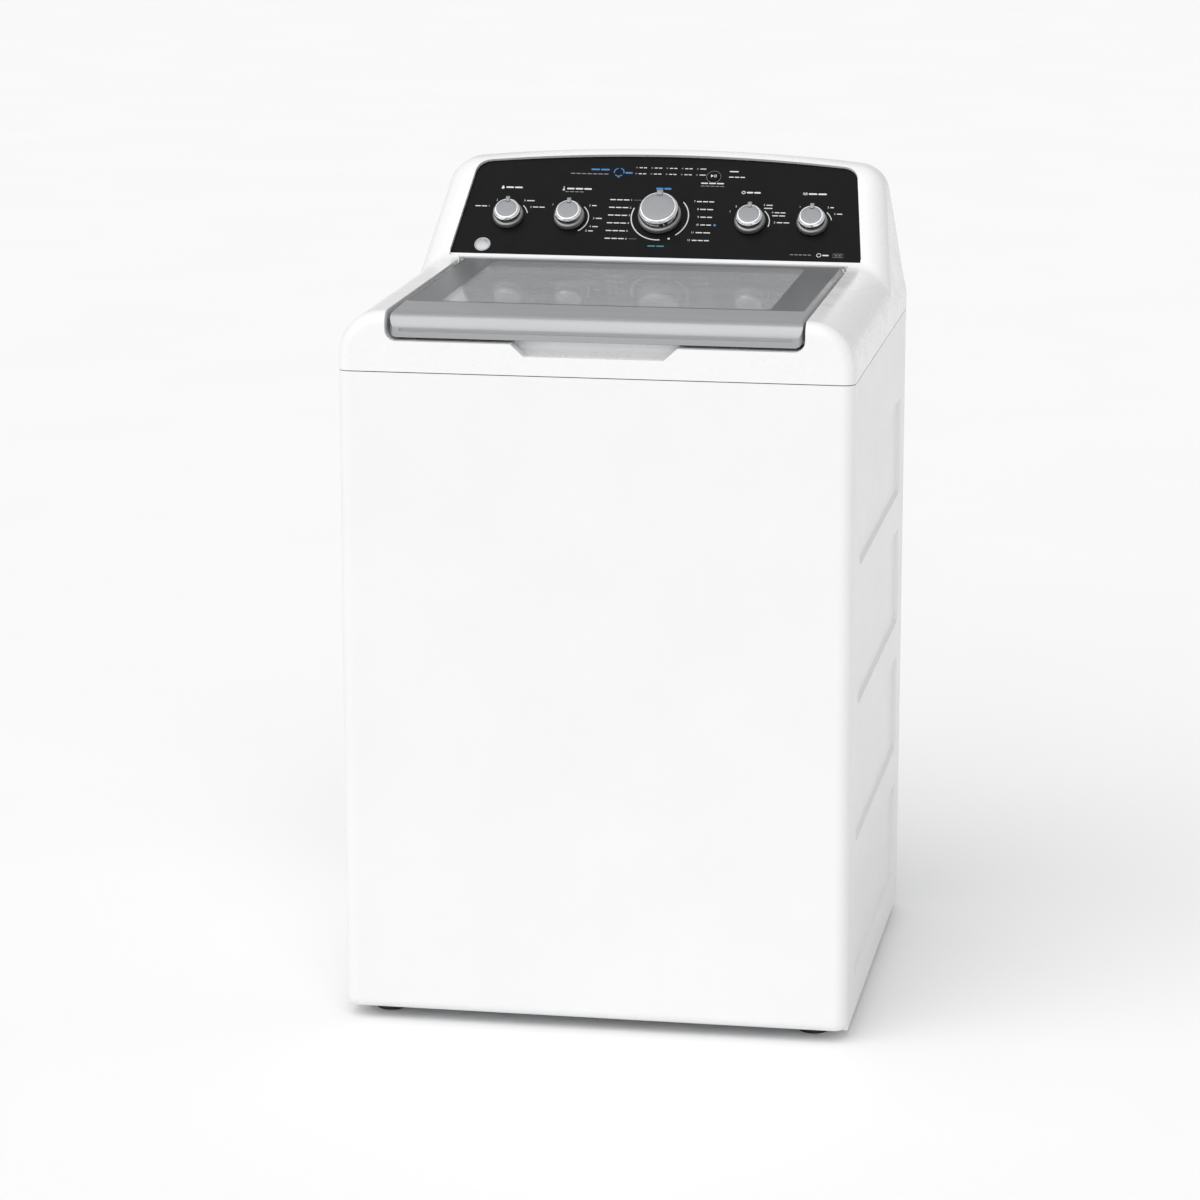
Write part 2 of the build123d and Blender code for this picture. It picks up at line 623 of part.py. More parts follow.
# ---------------------------------------------------------------- lid
def lid_section(inset):
    """Side view of the lid: rounded front nose, flat top and an edge rounded on the hinge line."""
    nose_low = LINER_Z + (0 if inset == 0 else -1)
    with BuildSketch(Plane.YZ.offset(-LID_HALF + inset)) as section:
        with BuildLine():
            Polyline(
                (back(HINGE_IN), LID_TOP - inset),
                (back(GLASS_IN[0]), LID_TOP - inset),
                (back(22 + inset / 2), 972.5 - inset),
            )
            ThreePointArc(
                (back(22 + inset / 2), 972.5 - inset),
                (back(13 + inset * 0.8), 966 - inset / 2),
                (back(LID_NOSE_IN + inset), 950),
            )
            Polyline(
                (back(LID_NOSE_IN + inset), 950),
                (back(LID_NOSE_IN + inset), nose_low),
                (back(HINGE_IN - 30), nose_low),
                (back(HINGE_IN - 14), HINGE_Z - LID_EDGE_R + inset),
                (back(HINGE_IN), HINGE_Z - LID_EDGE_R + inset),
            )
            RadiusArc(
                (back(HINGE_IN), HINGE_Z - LID_EDGE_R + inset), (back(HINGE_IN), LID_TOP - inset),
                -(LID_EDGE_R - inset),
            )
        make_face()
    return section.sketch


def lid_blank(inset):
    """Solid lid shape: side view carried across the width, rounded front corners, bevelled sides."""
    corner_r, bevel_x, bevel_z = 5.0, 5.6, 7.5
    half, top = LID_HALF - inset, LID_TOP - inset
    with BuildPart() as blank:
        extrude(to_extrude=lid_section(inset), amount=2 * half)
        with BuildSketch(Plane((0, back(LID_NOSE_IN + inset), LINER_Z - 2))) as plan:
            with Locations((0, DEPTH / 2)):
                Rectangle(2 * half, DEPTH)
            fillet(plan.vertices().group_by(Axis.Y)[0], corner_r - inset)
        extrude(amount=LID_TOP - LINER_Z + 4, mode=Mode.INTERSECT)
        end_in = NOSE_END_IN + inset
        add(nose_corners(half, LINER_Z + inset, NOSE_R - inset, end_in), mode=Mode.SUBTRACT)
        with BuildSketch(Plane.XZ.offset(-BACK)):
            for side in (-1, 1):
                with BuildLine():
                    Polyline(
                        (side * (half - bevel_x), top), (side * half, top), (side * half, top - bevel_z),
                        close=True,
                    )
                make_face()
        extrude(amount=DEPTH, mode=Mode.SUBTRACT)
    return blank.part


def lid():
    """Silver lid frame with its nose, the glass window, the inner liner and the rubber bumpers."""
    window = (450.0, 318.0)
    glass_mid = back((GLASS_IN[0] + GLASS_IN[1]) / 2)
    glass_long = GLASS_IN[1] - GLASS_IN[0]
    rib_z, rib_top, rib_deep = LINER_Z + 3.5, LINER_Z + 16, 5.2
    groove_z, groove_h, groove_deep = LINER_Z + 8, 4.0, 2.2
    with BuildPart() as frame:
        add(lid_blank(0))
        add(lid_blank(MOULDING), mode=Mode.SUBTRACT)
        with BuildSketch(Plane((0, back(LID_NOSE_IN + (MOULDING + rib_deep) / 2), rib_z))):
            Rectangle(2 * LID_HALF - 22, rib_deep - MOULDING + 0.4)
        extrude(amount=rib_top - rib_z)
        with BuildSketch(Plane.XZ.offset(-back(LID_NOSE_IN + groove_deep))):
            with Locations((0, groove_z + groove_h / 2)):
                SlotOverall(2 * LID_HALF - 26, groove_h)
        extrude(amount=groove_deep + 2, mode=Mode.SUBTRACT)
        with BuildSketch(Plane((0, glass_mid, LID_TOP - GLASS_T - MOULDING))):
            RectangleRounded(2 * GLASS_HALF + 4, glass_long + 4, 10)
        extrude(amount=MOULDING)
        with BuildSketch(Plane((0, glass_mid, LID_TOP - GLASS_T))):
            RectangleRounded(2 * GLASS_HALF, glass_long, 8)
        extrude(amount=GLASS_T + 1, mode=Mode.SUBTRACT)
        with BuildSketch(Plane((0, glass_mid - 4, LINER_Z))):
            RectangleRounded(window[0] + 2 * MOULDING, window[1] + 2 * MOULDING, 24)
        extrude(amount=LID_TOP - GLASS_T - LINER_Z - MOULDING)
        with BuildSketch(Plane((0, glass_mid - 4, LINER_Z - 1))):
            RectangleRounded(window[0], window[1], 22)
        extrude(amount=LID_TOP - LINER_Z, mode=Mode.SUBTRACT)
        hinge = Plane((0, back(HINGE_IN), HINGE_Z), x_dir=(0, 1, 0), z_dir=(1, 0, 0))
        for side in (-1, 1):
            with BuildSketch(hinge.offset(side * LID_HALF)):
                Circle(LID_EDGE_R)
            extrude(amount=-side * 16)
        with BuildSketch(hinge.offset(-LID_HALF - 1)):
            Circle(4)
        extrude(amount=2 * LID_HALF + 2, mode=Mode.SUBTRACT)
    keep(frame, "lid_frame")

    with BuildPart() as glass:
        with BuildSketch(Plane((0, glass_mid, LID_TOP - GLASS_T))):
            RectangleRounded(2 * GLASS_HALF - 2 * GAP, glass_long - 2 * GAP, 8)
        extrude(amount=GLASS_T - 0.2)
        chamfer(glass.faces().sort_by(Axis.Z)[-1].edges(), 0.8)
    keep(glass, "lid_glass")

    liner_long = HINGE_IN - 30 - LID_NOSE_IN - 2 * (MOULDING + GAP)
    with BuildPart() as liner:
        with BuildSketch(Plane((0, back(LID_NOSE_IN + MOULDING + GAP + liner_long / 2), LINER_Z))) as plan:
            Rectangle(2 * (LID_HALF - MOULDING - GAP), liner_long)
            fillet(plan.vertices(), 7)
            with Locations((0, glass_mid - 4 - back(LID_NOSE_IN + MOULDING + GAP + liner_long / 2))):
                RectangleRounded(
                    window[0] + 2 * (MOULDING + GAP), window[1] + 2 * (MOULDING + GAP), 24 + GAP,
                    mode=Mode.SUBTRACT,
                )
        extrude(amount=2.5)
        with BuildSketch(Plane.XY.offset(LINER_Z)):
            with Locations((-LID_HALF, FRONT), (LID_HALF, FRONT)):
                Rectangle(2 * (NOSE_R + GAP), 2 * (NOSE_END_IN + MOULDING + GAP))
        extrude(amount=2.5, mode=Mode.SUBTRACT)
    keep(liner, "lid_liner")

    with BuildPart() as bumpers:
        with BuildSketch(Plane.XY.offset(LEDGE_Z)):
            for side in (-1, 1):
                with Locations((side * 262, back(48)), (side * 262, back(400))):
                    Circle(5)
        extrude(amount=LINER_Z - LEDGE_Z)
    keep(bumpers, "lid_bumpers")


# ---------------------------------------------------------------- console pieces
def knob_plane(across, up, height):
    """Plane parallel to the fascia, centred on a knob's axis, this far in front of it."""
    return Plane(FASCIA.from_local_coords((across, up, height)), x_dir=(1, 0, 0), z_dir=FASCIA.z_dir)


def knob(label, across, up, cap_r, height):
    """Turned knob: dark skirt, neck, bright cap with a raised pointer, and its spindle."""
    skirt_r, skirt_low, skirt_top = cap_r + 3, 1.0, 9.0
    with BuildPart() as turned:
        with BuildSketch(knob_plane(across, up, skirt_low)):
            Circle(skirt_r)
        extrude(amount=skirt_top - skirt_low)
        chamfer(turned.faces().sort_by(FASCIA_AXIS)[-1].edges(), 1)
        with BuildSketch(knob_plane(across, up, skirt_top)):
            Circle(cap_r - 2.5)
        extrude(amount=2.5)
        with BuildSketch(knob_plane(across, up, skirt_top + 2.5)):
            Circle(cap_r)
        extrude(amount=height - skirt_top - 2.5)
        chamfer(turned.faces().sort_by(FASCIA_AXIS)[-1].edges(), 3, 2.6)
        with BuildSketch(knob_plane(across, up, height - 5)):
            with Locations((0, cap_r - 6.5)):
                RectangleRounded(5, 9, 1.5)
        extrude(amount=6.6)
        with BuildSketch(knob_plane(across, up, skirt_low)):
            Circle(SPINDLE_R - FIT)
        extrude(amount=-SPINDLE_LEN)
    keep(turned, label)


def knobs():
    """Four option knobs and the larger cycle knob."""
    for label, across in SMALL_KNOBS.items():
        knob(label, across, KNOB_V, 19.5, 20.0)
    knob("cycle_knob", 0, CYCLE_V, 28.5, 24.0)


def fascia_and_controls():
    """Dark fascia with its holes, rotary switches, indicator lenses, start button and circuit board."""
    places = [(across, KNOB_V) for across in SMALL_KNOBS.values()] + [(0, CYCLE_V)]
    lenses = [(across, up) for across in LENS_COLUMNS for up in LENS_ROWS]
    lens_r, board_low = 1.4, -12.0
    with BuildPart() as fascia:
        extrude(to_extrude=fascia_outline(0), amount=-FASCIA_T)
        with BuildSketch(FASCIA):
            with Locations(*places):
                Circle(SPINDLE_R + 1)
            with Locations(*lenses):
                Circle(lens_r)
            with Locations(START_AT):
                Circle(START_R + GAP)
        extrude(amount=-FASCIA_T, mode=Mode.SUBTRACT)
    keep(fascia, "fascia_panel")
    with BuildPart() as switches:
        with BuildSketch(FASCIA.offset(-FASCIA_T)):
            with Locations(*places):
                RectangleRounded(32, 32, 3)
        extrude(amount=-18)
        with BuildSketch(FASCIA.offset(-FASCIA_T)):
            with Locations(*places):
                Circle(SPINDLE_R)
        extrude(amount=-18, mode=Mode.SUBTRACT)
    keep(switches, "selector_switches")
    with BuildPart() as windows:
        with BuildSketch(FASCIA.offset(-FASCIA_T)):
            with Locations(*lenses):
                Circle(lens_r)
        extrude(amount=FASCIA_T + 0.2)
    keep(windows, "indicator_lenses")
    with BuildPart() as button:
        with BuildSketch(FASCIA.offset(-FASCIA_T - GAP)):
            with Locations(START_AT):
                Circle(START_R)
        extrude(amount=FASCIA_T + GAP + BUTTON_TRAVEL)
        chamfer(button.faces().sort_by(FASCIA_AXIS)[-1].edges(), 0.6)
        with BuildSketch(FASCIA.offset(-FASCIA_T - GAP)):
            with Locations(START_AT):
                Circle(START_R + 2)
        extrude(amount=-1.5)
    keep(button, "start_button")
    with BuildPart() as board:
        with BuildSketch(FASCIA.offset(board_low)):
            with Locations((0, 128)):
                Rectangle(230, 52)
        extrude(amount=-1.6)
        with BuildSketch(FASCIA.offset(board_low)):
            with Locations(START_AT):
                Rectangle(7, 7)
        extrude(amount=4)
        with BuildSketch(FASCIA.offset(board_low - 1.6)):
            with Locations((-85, 128)):
                Rectangle(34, 40)
            with GridLocations(26, 0, 4, 1):
                with Locations((25, 128)):
                    Rectangle(16, 24)
        extrude(amount=-14)
    keep(board, "control_board")


# ---------------------------------------------------------------- suspension, tub and drive
def suspension():
    """Hanger rods with their heads and seats, and the coil springs that carry the tub."""
    head_r, seat_r, seat_t, wire_r, turns = 9.0, 17.0, 6.0, 1.9, 7
    places = GridLocations(2 * ROD_AT[0], 2 * ROD_AT[1], 2, 2)
    with BuildPart() as rods:
        with BuildSketch(tub_plane(SPRING_Z - seat_t)):
            with places:
                Circle(seat_r)
        extrude(amount=seat_t)
        with BuildSketch(tub_plane(SPRING_Z)):
            with places:
                Circle(ROD_R)
        extrude(amount=BRACE_Z + 3 - SPRING_Z)
        with BuildSketch(tub_plane(BRACE_Z + 3)):
            with places:
                Circle(head_r)
        extrude(amount=9)
    keep(rods, "suspension_rods")
    height = EAR_Z - SPRING_Z - 2 * wire_r - 2 * GAP
    with BuildPart() as springs:
        with BuildLine() as coil:
            Helix(pitch=height / turns, height=height, radius=12)
        with BuildSketch(Plane(coil.line @ 0, z_dir=coil.line % 0)):
            Circle(wire_r)
        one = sweep(path=coil.line, is_frenet=True, mode=Mode.PRIVATE)
        with Locations(*[
            (x, AXIS_Y + y, SPRING_Z + wire_r + GAP)
            for x in (-ROD_AT[0], ROD_AT[0]) for y in (-ROD_AT[1], ROD_AT[1])
        ]):
            add(one)
    keep(springs, "suspension_springs")


def tub_assembly():
    """Outer tub, splash ring, steel support with its ears, gear case and bearings."""
    neck_r, neck_top = 30.0, 310.0
    arm = hypot(*ROD_AT)
    support_t = TUB_Z - EAR_Z
    with BuildPart() as tub:
        with BuildSketch(tub_plane(TUB_Z)):
            Circle(TUB_R)
        extrude(amount=TUB_TOP - TUB_Z)
        fillet(tub.edges().sort_by(Axis.Z)[0], 18)
        offset(amount=-TUB_T, openings=tub.faces().sort_by(Axis.Z)[-1])
        with BuildSketch(tub_plane(TUB_Z)):
            Circle(neck_r)
            with Locations((PUMP_AT[0], PUMP_AT[1] - AXIS_Y)):
                Circle(10)
        extrude(amount=3 * TUB_T, mode=Mode.SUBTRACT)
    keep(tub, "outer_tub")

    with BuildPart() as ring:
        with BuildSketch(Plane.XZ.offset(-AXIS_Y)):
            with BuildLine():
                Polyline(
                    (276, 848), (276, 878), (264, RING_TOP), (RING_BORE, RING_TOP), (RING_BORE, 874),
                    (RING_BORE + 3, 874), (RING_BORE + 3, RING_TOP - 3), (262, RING_TOP - 3),
                    (266, 883), (266, TUB_TOP), (TUB_R + GAP, TUB_TOP), (TUB_R + GAP, 848), close=True,
                )
            make_face()
        revolve(axis=Axis((0, AXIS_Y, 0), (0, 0, 1)))
    keep(ring, "tub_ring")

    with BuildPart() as support:
        with BuildSketch(tub_plane(EAR_Z)):
            Circle(118)
            for side in (-1, 1):
                Rectangle(2 * (arm + 24), 56, rotation=degrees(atan2(ROD_AT[1], side * ROD_AT[0])))
            with Locations((MOTOR_AT[0], MOTOR_AT[1] - AXIS_Y)):
                Circle(66)
            Circle(neck_r, mode=Mode.SUBTRACT)
            with GridLocations(2 * ROD_AT[0], 2 * ROD_AT[1], 2, 2):
                Circle(ROD_R + 2.5, mode=Mode.SUBTRACT)
        extrude(amount=support_t)
    keep(support, "tub_support")

    with BuildPart() as case:
        with BuildSketch(tub_plane(200)):
            Circle(58)
        extrude(amount=EAR_Z - 200)
        fillet(case.edges().sort_by(Axis.Z)[0], 8)
        with BuildSketch(tub_plane(EAR_Z)):
            Circle(neck_r)
        extrude(amount=neck_top - EAR_Z)
        with BuildSketch(tub_plane(200)):
            Circle(TUBE_R + 4)
        extrude(amount=neck_top - 200, mode=Mode.SUBTRACT)
        for height in (200, neck_top - 12):
            with BuildSketch(tub_plane(height)):
                Circle(26)
            extrude(amount=12, mode=Mode.SUBTRACT)
    keep(case, "gearcase")

    with BuildPart() as bearings:
        for height in (200, neck_top - 12):
            with BuildSketch(tub_plane(height)):
                Circle(26)
                Circle(TUBE_R + FIT, mode=Mode.SUBTRACT)
            extrude(amount=12)
    keep(bearings, "tub_bearings")


def drive():
    """Motor with its pulley, the belt, and the large pulley on the spin tube."""
    shaft_r, motor_r, motor_z = 6.0, 62.0, 160.0
    belt_gap, belt_t, flange = 0.4, 4.0, 5.0
    spacing = hypot(MOTOR_AT[0], MOTOR_AT[1] - AXIS_Y)
    heading = atan2(MOTOR_AT[1] - AXIS_Y, MOTOR_AT[0])
    motor_centre = (MOTOR_AT[0], MOTOR_AT[1], 0)
    with BuildPart() as motor:
        with BuildSketch(Plane(motor_centre).offset(motor_z)):
            Circle(motor_r)
        extrude(amount=EAR_Z - motor_z)
        fillet(motor.edges().sort_by(Axis.Z)[0], 8)
        with BuildSketch(Plane(motor_centre).offset(motor_z)):
            Circle(shaft_r + FIT)
        extrude(amount=60, mode=Mode.SUBTRACT)
    keep(motor, "drive_motor")

    def pulley(label, centre, radius, bore, shaft_top):
        with BuildPart() as wheel:
            for low, high, rim in ((0, 3, radius + flange), (3, 15, radius), (15, 18, radius + flange)):
                with BuildSketch(Plane(centre).offset(PULLEY_Z + low)):
                    Circle(rim)
                extrude(amount=high - low)
            if bore:
                with BuildSketch(Plane(centre).offset(PULLEY_Z)):
                    Circle(bore)
                    with PolarLocations(radius * 0.6, 5):
                        Circle(radius * 0.22)
                extrude(amount=PULLEY_W, mode=Mode.SUBTRACT)
            else:
                with BuildSketch(Plane(centre).offset(PULLEY_Z - 4)):
                    Circle(shaft_r)
                extrude(amount=shaft_top - PULLEY_Z + 4)
        keep(wheel, label)

    pulley("drive_pulley", (0, AXIS_Y, 0), DRIVE_R, TUBE_R, 0)
    pulley("motor_pulley", motor_centre, MOTOR_R, 0, motor_z + 55)

    def belt_loop(extra):
        lean = acos((DRIVE_R - MOTOR_R) / spacing)
        corners = []
        for centre, radius, sign in (
            ((0, 0), DRIVE_R, 1), ((MOTOR_AT[0], MOTOR_AT[1] - AXIS_Y), MOTOR_R, 1),
            ((MOTOR_AT[0], MOTOR_AT[1] - AXIS_Y), MOTOR_R, -1), ((0, 0), DRIVE_R, -1),
        ):
            angle = heading + sign * lean
            reach = radius + extra
            corners.append((centre[0] + reach * cos(angle), centre[1] + reach * sin(angle)))
        with BuildSketch(tub_plane(PULLEY_Z + 5)) as loop:
            Circle(DRIVE_R + extra)
            with Locations((MOTOR_AT[0], MOTOR_AT[1] - AXIS_Y)):
                Circle(MOTOR_R + extra)
            with BuildLine():
                Polyline(*corners, close=True)
            make_face()
        return loop.sketch

    with BuildPart() as belt:
        extrude(to_extrude=belt_loop(belt_gap + belt_t), amount=8)
        extrude(to_extrude=belt_loop(belt_gap), amount=8, mode=Mode.SUBTRACT)
    keep(belt, "drive_belt")


def drain():
    """Drain pump with its impeller, the corrugated hose inside the back, and its outlet elbow."""
    pump = Plane((PUMP_AT[0], PUMP_AT[1], 0))
    port_z = 268.0
    with BuildPart() as housing:
        with BuildSketch(pump.offset(242)):
            Circle(38)
        extrude(amount=TUB_Z - 242)
        with BuildSketch(pump.offset(196)):
            Circle(27)
        extrude(amount=46)
        with BuildSketch(Plane.XZ.offset(-PUMP_AT[1])):
            with Locations((PUMP_AT[0] - 20, port_z)):
                Circle(HOSE_R - HOSE_T)
        extrude(amount=-62)
        with BuildSketch(pump.offset(248)):
            Circle(32)
        extrude(amount=44, mode=Mode.SUBTRACT)
        with BuildSketch(pump.offset(290)):
            Circle(10)
        extrude(amount=12, mode=Mode.SUBTRACT)
        with BuildSketch(Plane.XZ.offset(-PUMP_AT[1] - 10)):
            with Locations((PUMP_AT[0] - 20, port_z)):
                Circle(HOSE_R - HOSE_T - 2)
        extrude(amount=-54, mode=Mode.SUBTRACT)
        with BuildSketch(pump.offset(220)):
            Circle(3 + FIT)
        extrude(amount=30, mode=Mode.SUBTRACT)
    keep(housing, "drain_pump")

    with BuildPart() as impeller:
        with BuildSketch(pump.offset(222)):
            Circle(3)
        extrude(amount=30)
        with BuildSketch(pump.offset(250)):
            Circle(26)
        extrude(amount=3)
        with BuildSketch(pump.offset(250)):
            with PolarLocations(15, 6):
                Rectangle(20, 2.5)
            Circle(7)
        extrude(amount=26)
    keep(impeller, "pump_impeller")

    start = (PUMP_AT[0] - 20, PUMP_AT[1] + 42, port_z)
    route = [
        start, (start[0], 110, port_z), (-202, 200, port_z - 12), (HOSE_X, HOSE_Y - 6, port_z + 10),
        (HOSE_X, HOSE_Y, 480), (HOSE_X, HOSE_Y, HOSE_Z - 32),
    ]
    with BuildPart() as hose:
        with BuildLine() as path:
            FilletPolyline(*route, radius=[80, 90, 60, 800])
        with BuildSketch(Plane(start, z_dir=path.wires()[0] % 0)):
            Circle(HOSE_R)
            Circle(HOSE_R - HOSE_T, mode=Mode.SUBTRACT)
        sweep(path=path.wires()[0])
    keep(hose, "drain_hose")

    bend = 16.0
    with BuildPart() as outlet:
        with BuildLine() as elbow:
            Line((HOSE_X, HOSE_Y, HOSE_Z - 52), (HOSE_X, HOSE_Y, HOSE_Z - bend))
            ThreePointArc(
                (HOSE_X, HOSE_Y, HOSE_Z - bend),
                (HOSE_X, HOSE_Y + bend * (1 - cos(radians(45))), HOSE_Z - bend * (1 - sin(radians(45)))),
                (HOSE_X, HOSE_Y + bend, HOSE_Z),
            )
        with BuildSketch(Plane((HOSE_X, HOSE_Y, HOSE_Z - 52))):
            Circle(HOSE_R - HOSE_T)
            Circle(OUTLET_R, mode=Mode.SUBTRACT)
        sweep(path=elbow.wires()[0])
        with BuildSketch(Plane.XZ.offset(-(HOSE_Y + bend))):
            with Locations((HOSE_X, HOSE_Z)):
                Circle(HOSE_R)
                Circle(OUTLET_R, mode=Mode.SUBTRACT)
        extrude(amount=-(BACK + 1.5 - HOSE_Y - bend))
        with BuildSketch(Plane.XZ.offset(-(BACK - SHEET))):
            with Locations((HOSE_X, HOSE_Z)):
                Circle(28)
                Circle(OUTLET_R, mode=Mode.SUBTRACT)
        extrude(amount=2)
    keep(outlet, "drain_outlet")


def basket_assembly():
    """Steel basket with rows of drain holes, its hub, balance ring, spin tube and drive shaft."""
    hub_r = 24.0
    rows, per_row, hole_r = 7, 36, 3.0
    with BuildPart() as basket:
        with BuildSketch(tub_plane(BASKET_Z)):
            Circle(BASKET_R)
        extrude(amount=BASKET_TOP - BASKET_Z)
        fillet(basket.edges().sort_by(Axis.Z)[0], 22)
        offset(amount=-BASKET_T, openings=basket.faces().sort_by(Axis.Z)[-1])
        with BuildSketch(tub_plane(BASKET_Z)):
            Circle(hub_r)
            with PolarLocations(130, 12):
                Circle(5)
        extrude(amount=3, mode=Mode.SUBTRACT)
        holes = []
        for row in range(rows):
            for step in range(per_row):
                turn = radians(360 / per_row * (step + 0.5 * (row % 2)))
                out = (cos(turn), sin(turn))
                centre = (out[0] * (BASKET_R - 6), AXIS_Y + out[1] * (BASKET_R - 6))
                holes.append(Plane((*centre, BASKET_Z + 70 + row * 62), z_dir=(*out, 0)))
        with BuildSketch(*holes):
            Circle(hole_r)
        extrude(amount=12, mode=Mode.SUBTRACT)
    keep(basket, "basket")

    with BuildPart() as hub:
        with BuildSketch(tub_plane(313)):
            Circle(82)
        extrude(amount=BASKET_Z - 313)
        with BuildSketch(tub_plane(BASKET_Z)):
            Circle(hub_r)
        extrude(amount=15)
        with BuildSketch(tub_plane(313)):
            Circle(TUBE_R)
        extrude(amount=BASKET_Z + 15 - 313, mode=Mode.SUBTRACT)
    keep(hub, "basket_hub")

    inner = 213.0
    wall = BASKET_R - BASKET_T
    with BuildPart() as ring:
        with BuildSketch(Plane.XZ.offset(-AXIS_Y)):
            with BuildLine():
                Polyline(
                    (inner + 8, BASKET_TOP - 20), (inner, BASKET_TOP - 8), (inner, 862), (inner + 8, 870),
                    (BASKET_R - 4, 870), (BASKET_R + 4, 862), (BASKET_R + 4, BASKET_TOP),
                    (wall, BASKET_TOP), (wall, BASKET_TOP - 20), close=True,
                )
            make_face()
        revolve(axis=Axis((0, AXIS_Y, 0), (0, 0, 1)))
    keep(ring, "balance_ring")

    with BuildPart() as tube:
        with BuildSketch(tub_plane(PULLEY_Z - 4)):
            Circle(TUBE_R)
            Circle(TUBE_BORE, mode=Mode.SUBTRACT)
        extrude(amount=BASKET_Z + 20 - PULLEY_Z)
    keep(tube, "spin_tube")


def agitator():
    """Agitator bell with four vanes, its shaft, the ratcheting auger and the softener cup."""
    bell_low, column_r, column_top, wall = 331.0, 46.0, 560.0, 3.0
    axis = Axis((0, AXIS_Y, 0), (0, 0, 1))

    def bell(inset):
        with BuildSketch(Plane.XZ.offset(-AXIS_Y)) as half:
            with BuildLine():
                Polyline((0, column_top - inset), (column_r - inset, column_top - inset),
                         (column_r + 3 - inset, 440))
                ThreePointArc((column_r + 3 - inset, 440), (68 - inset, 388 - inset),
                              (150 - inset, 352 - inset))
                Polyline((150 - inset, 352 - inset), (165 - inset, 345 - inset), (165 - inset, bell_low),
                         (0, bell_low), (0, column_top - inset))
            make_face()
        return half.sketch

    with BuildPart() as base:
        revolve(profiles=bell(0), axis=axis)
        for vane in range(4):
            turn = radians(45 + 90 * vane)
            plane = Plane((0, AXIS_Y, 0), x_dir=(cos(turn), sin(turn), 0), z_dir=(sin(turn), -cos(turn), 0))
            with BuildSketch(plane):
                with BuildLine():
                    Polyline((40, 350), (156, 350), (148, 388), (66, 500), (40, 524), close=True)
                make_face()
            extrude(amount=3, both=True)
        revolve(profiles=bell(wall), axis=axis, mode=Mode.SUBTRACT)
        with BuildSketch(tub_plane(column_top - wall)):
            Circle(TUBE_BORE - FIT)
        extrude(amount=wall, mode=Mode.SUBTRACT)
    keep(base, "agitator_base")

    with BuildPart() as shaft:
        with BuildSketch(tub_plane(PULLEY_Z - 4)):
            Circle(TUBE_BORE - FIT)
        extrude(amount=600 - PULLEY_Z)
    keep(shaft, "agitator_shaft")

    auger_low, auger_top, auger_r = 562.0, 745.0, 44.0
    with BuildPart() as auger:
        with BuildSketch(tub_plane(auger_low)):
            Circle(auger_r)
        extrude(amount=auger_top - auger_low)
        with BuildLine() as spiral:
            Helix(pitch=140, height=150, radius=auger_r + 12, center=(0, AXIS_Y, auger_low + 12))
        with BuildSketch(Plane(spiral.line @ 0, x_dir=(1, 0, 0), z_dir=spiral.line % 0)):
            Rectangle(30, 5)
        sweep(path=spiral.line, normal=(0, 0, 1))
        with BuildSketch(tub_plane(auger_low + wall)):
            Circle(auger_r - wall)
        extrude(amount=auger_top - auger_low - wall, mode=Mode.SUBTRACT)
        with BuildSketch(tub_plane(auger_low)):
            Circle(TUBE_BORE)
        extrude(amount=wall, mode=Mode.SUBTRACT)
    keep(auger, "agitator_auger")

    with BuildPart() as cup:
        with BuildSketch(tub_plane(auger_top - 30)):
            Circle(auger_r - wall - 0.5)
        extrude(amount=30)
        with BuildSketch(tub_plane(auger_top)):
            Circle(auger_r + 3)
        extrude(amount=50)
        fillet(cup.edges().group_by(Axis.Z)[-1], 6)
        with BuildSketch(tub_plane(auger_top - 26)):
            Circle(34)
        extrude(amount=80, mode=Mode.SUBTRACT)
    keep(cup, "softener_cup")


def panel_screws():
    """Pan-head screws round the rear sheets."""
    head_r = 5.0
    columns, rows = (-331.0, 331.0), (60.0, 250.0, 412.0, 580.0, 760.0, 870.0)
    low = [(x, z) for x in columns for z in rows]
    high = [(x, 920.0) for x in (-300.0, -100.0, 100.0, 300.0)] + [(-240.0, 1085.0), (240.0, 1085.0)]
    with BuildPart() as screws:
        with BuildSketch(Plane.XZ.offset(-BACK)):
            with Locations(*low, *high):
                Circle(head_r)
        extrude(amount=-SCREW_HEAD)
        chamfer(screws.faces().group_by(Axis.Y)[-1].edges(), 0.7)
    keep(screws, "panel_screws")


if __name__ == "__main__":
    front_panel()
    side_panels()
    rear_panel()
    base_frame()
    leveling_feet()
    corner_braces()
    top_cover()
    hinge_parts()
    console_rear_cover()
    water_inlet()
    lid_lock()
    lid()
    knobs()
    fascia_and_controls()
    suspension()
    tub_assembly()
    drive()
    drain()
    basket_assembly()
    agitator()
    panel_screws()
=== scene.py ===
"""Looks of the top load washing machine: materials, knobs, fascia print, springs, hose and studio."""
import json
from math import ceil, cos, pi, radians, sin, sqrt

import bmesh
import bpy
from mathutils import Matrix, Vector


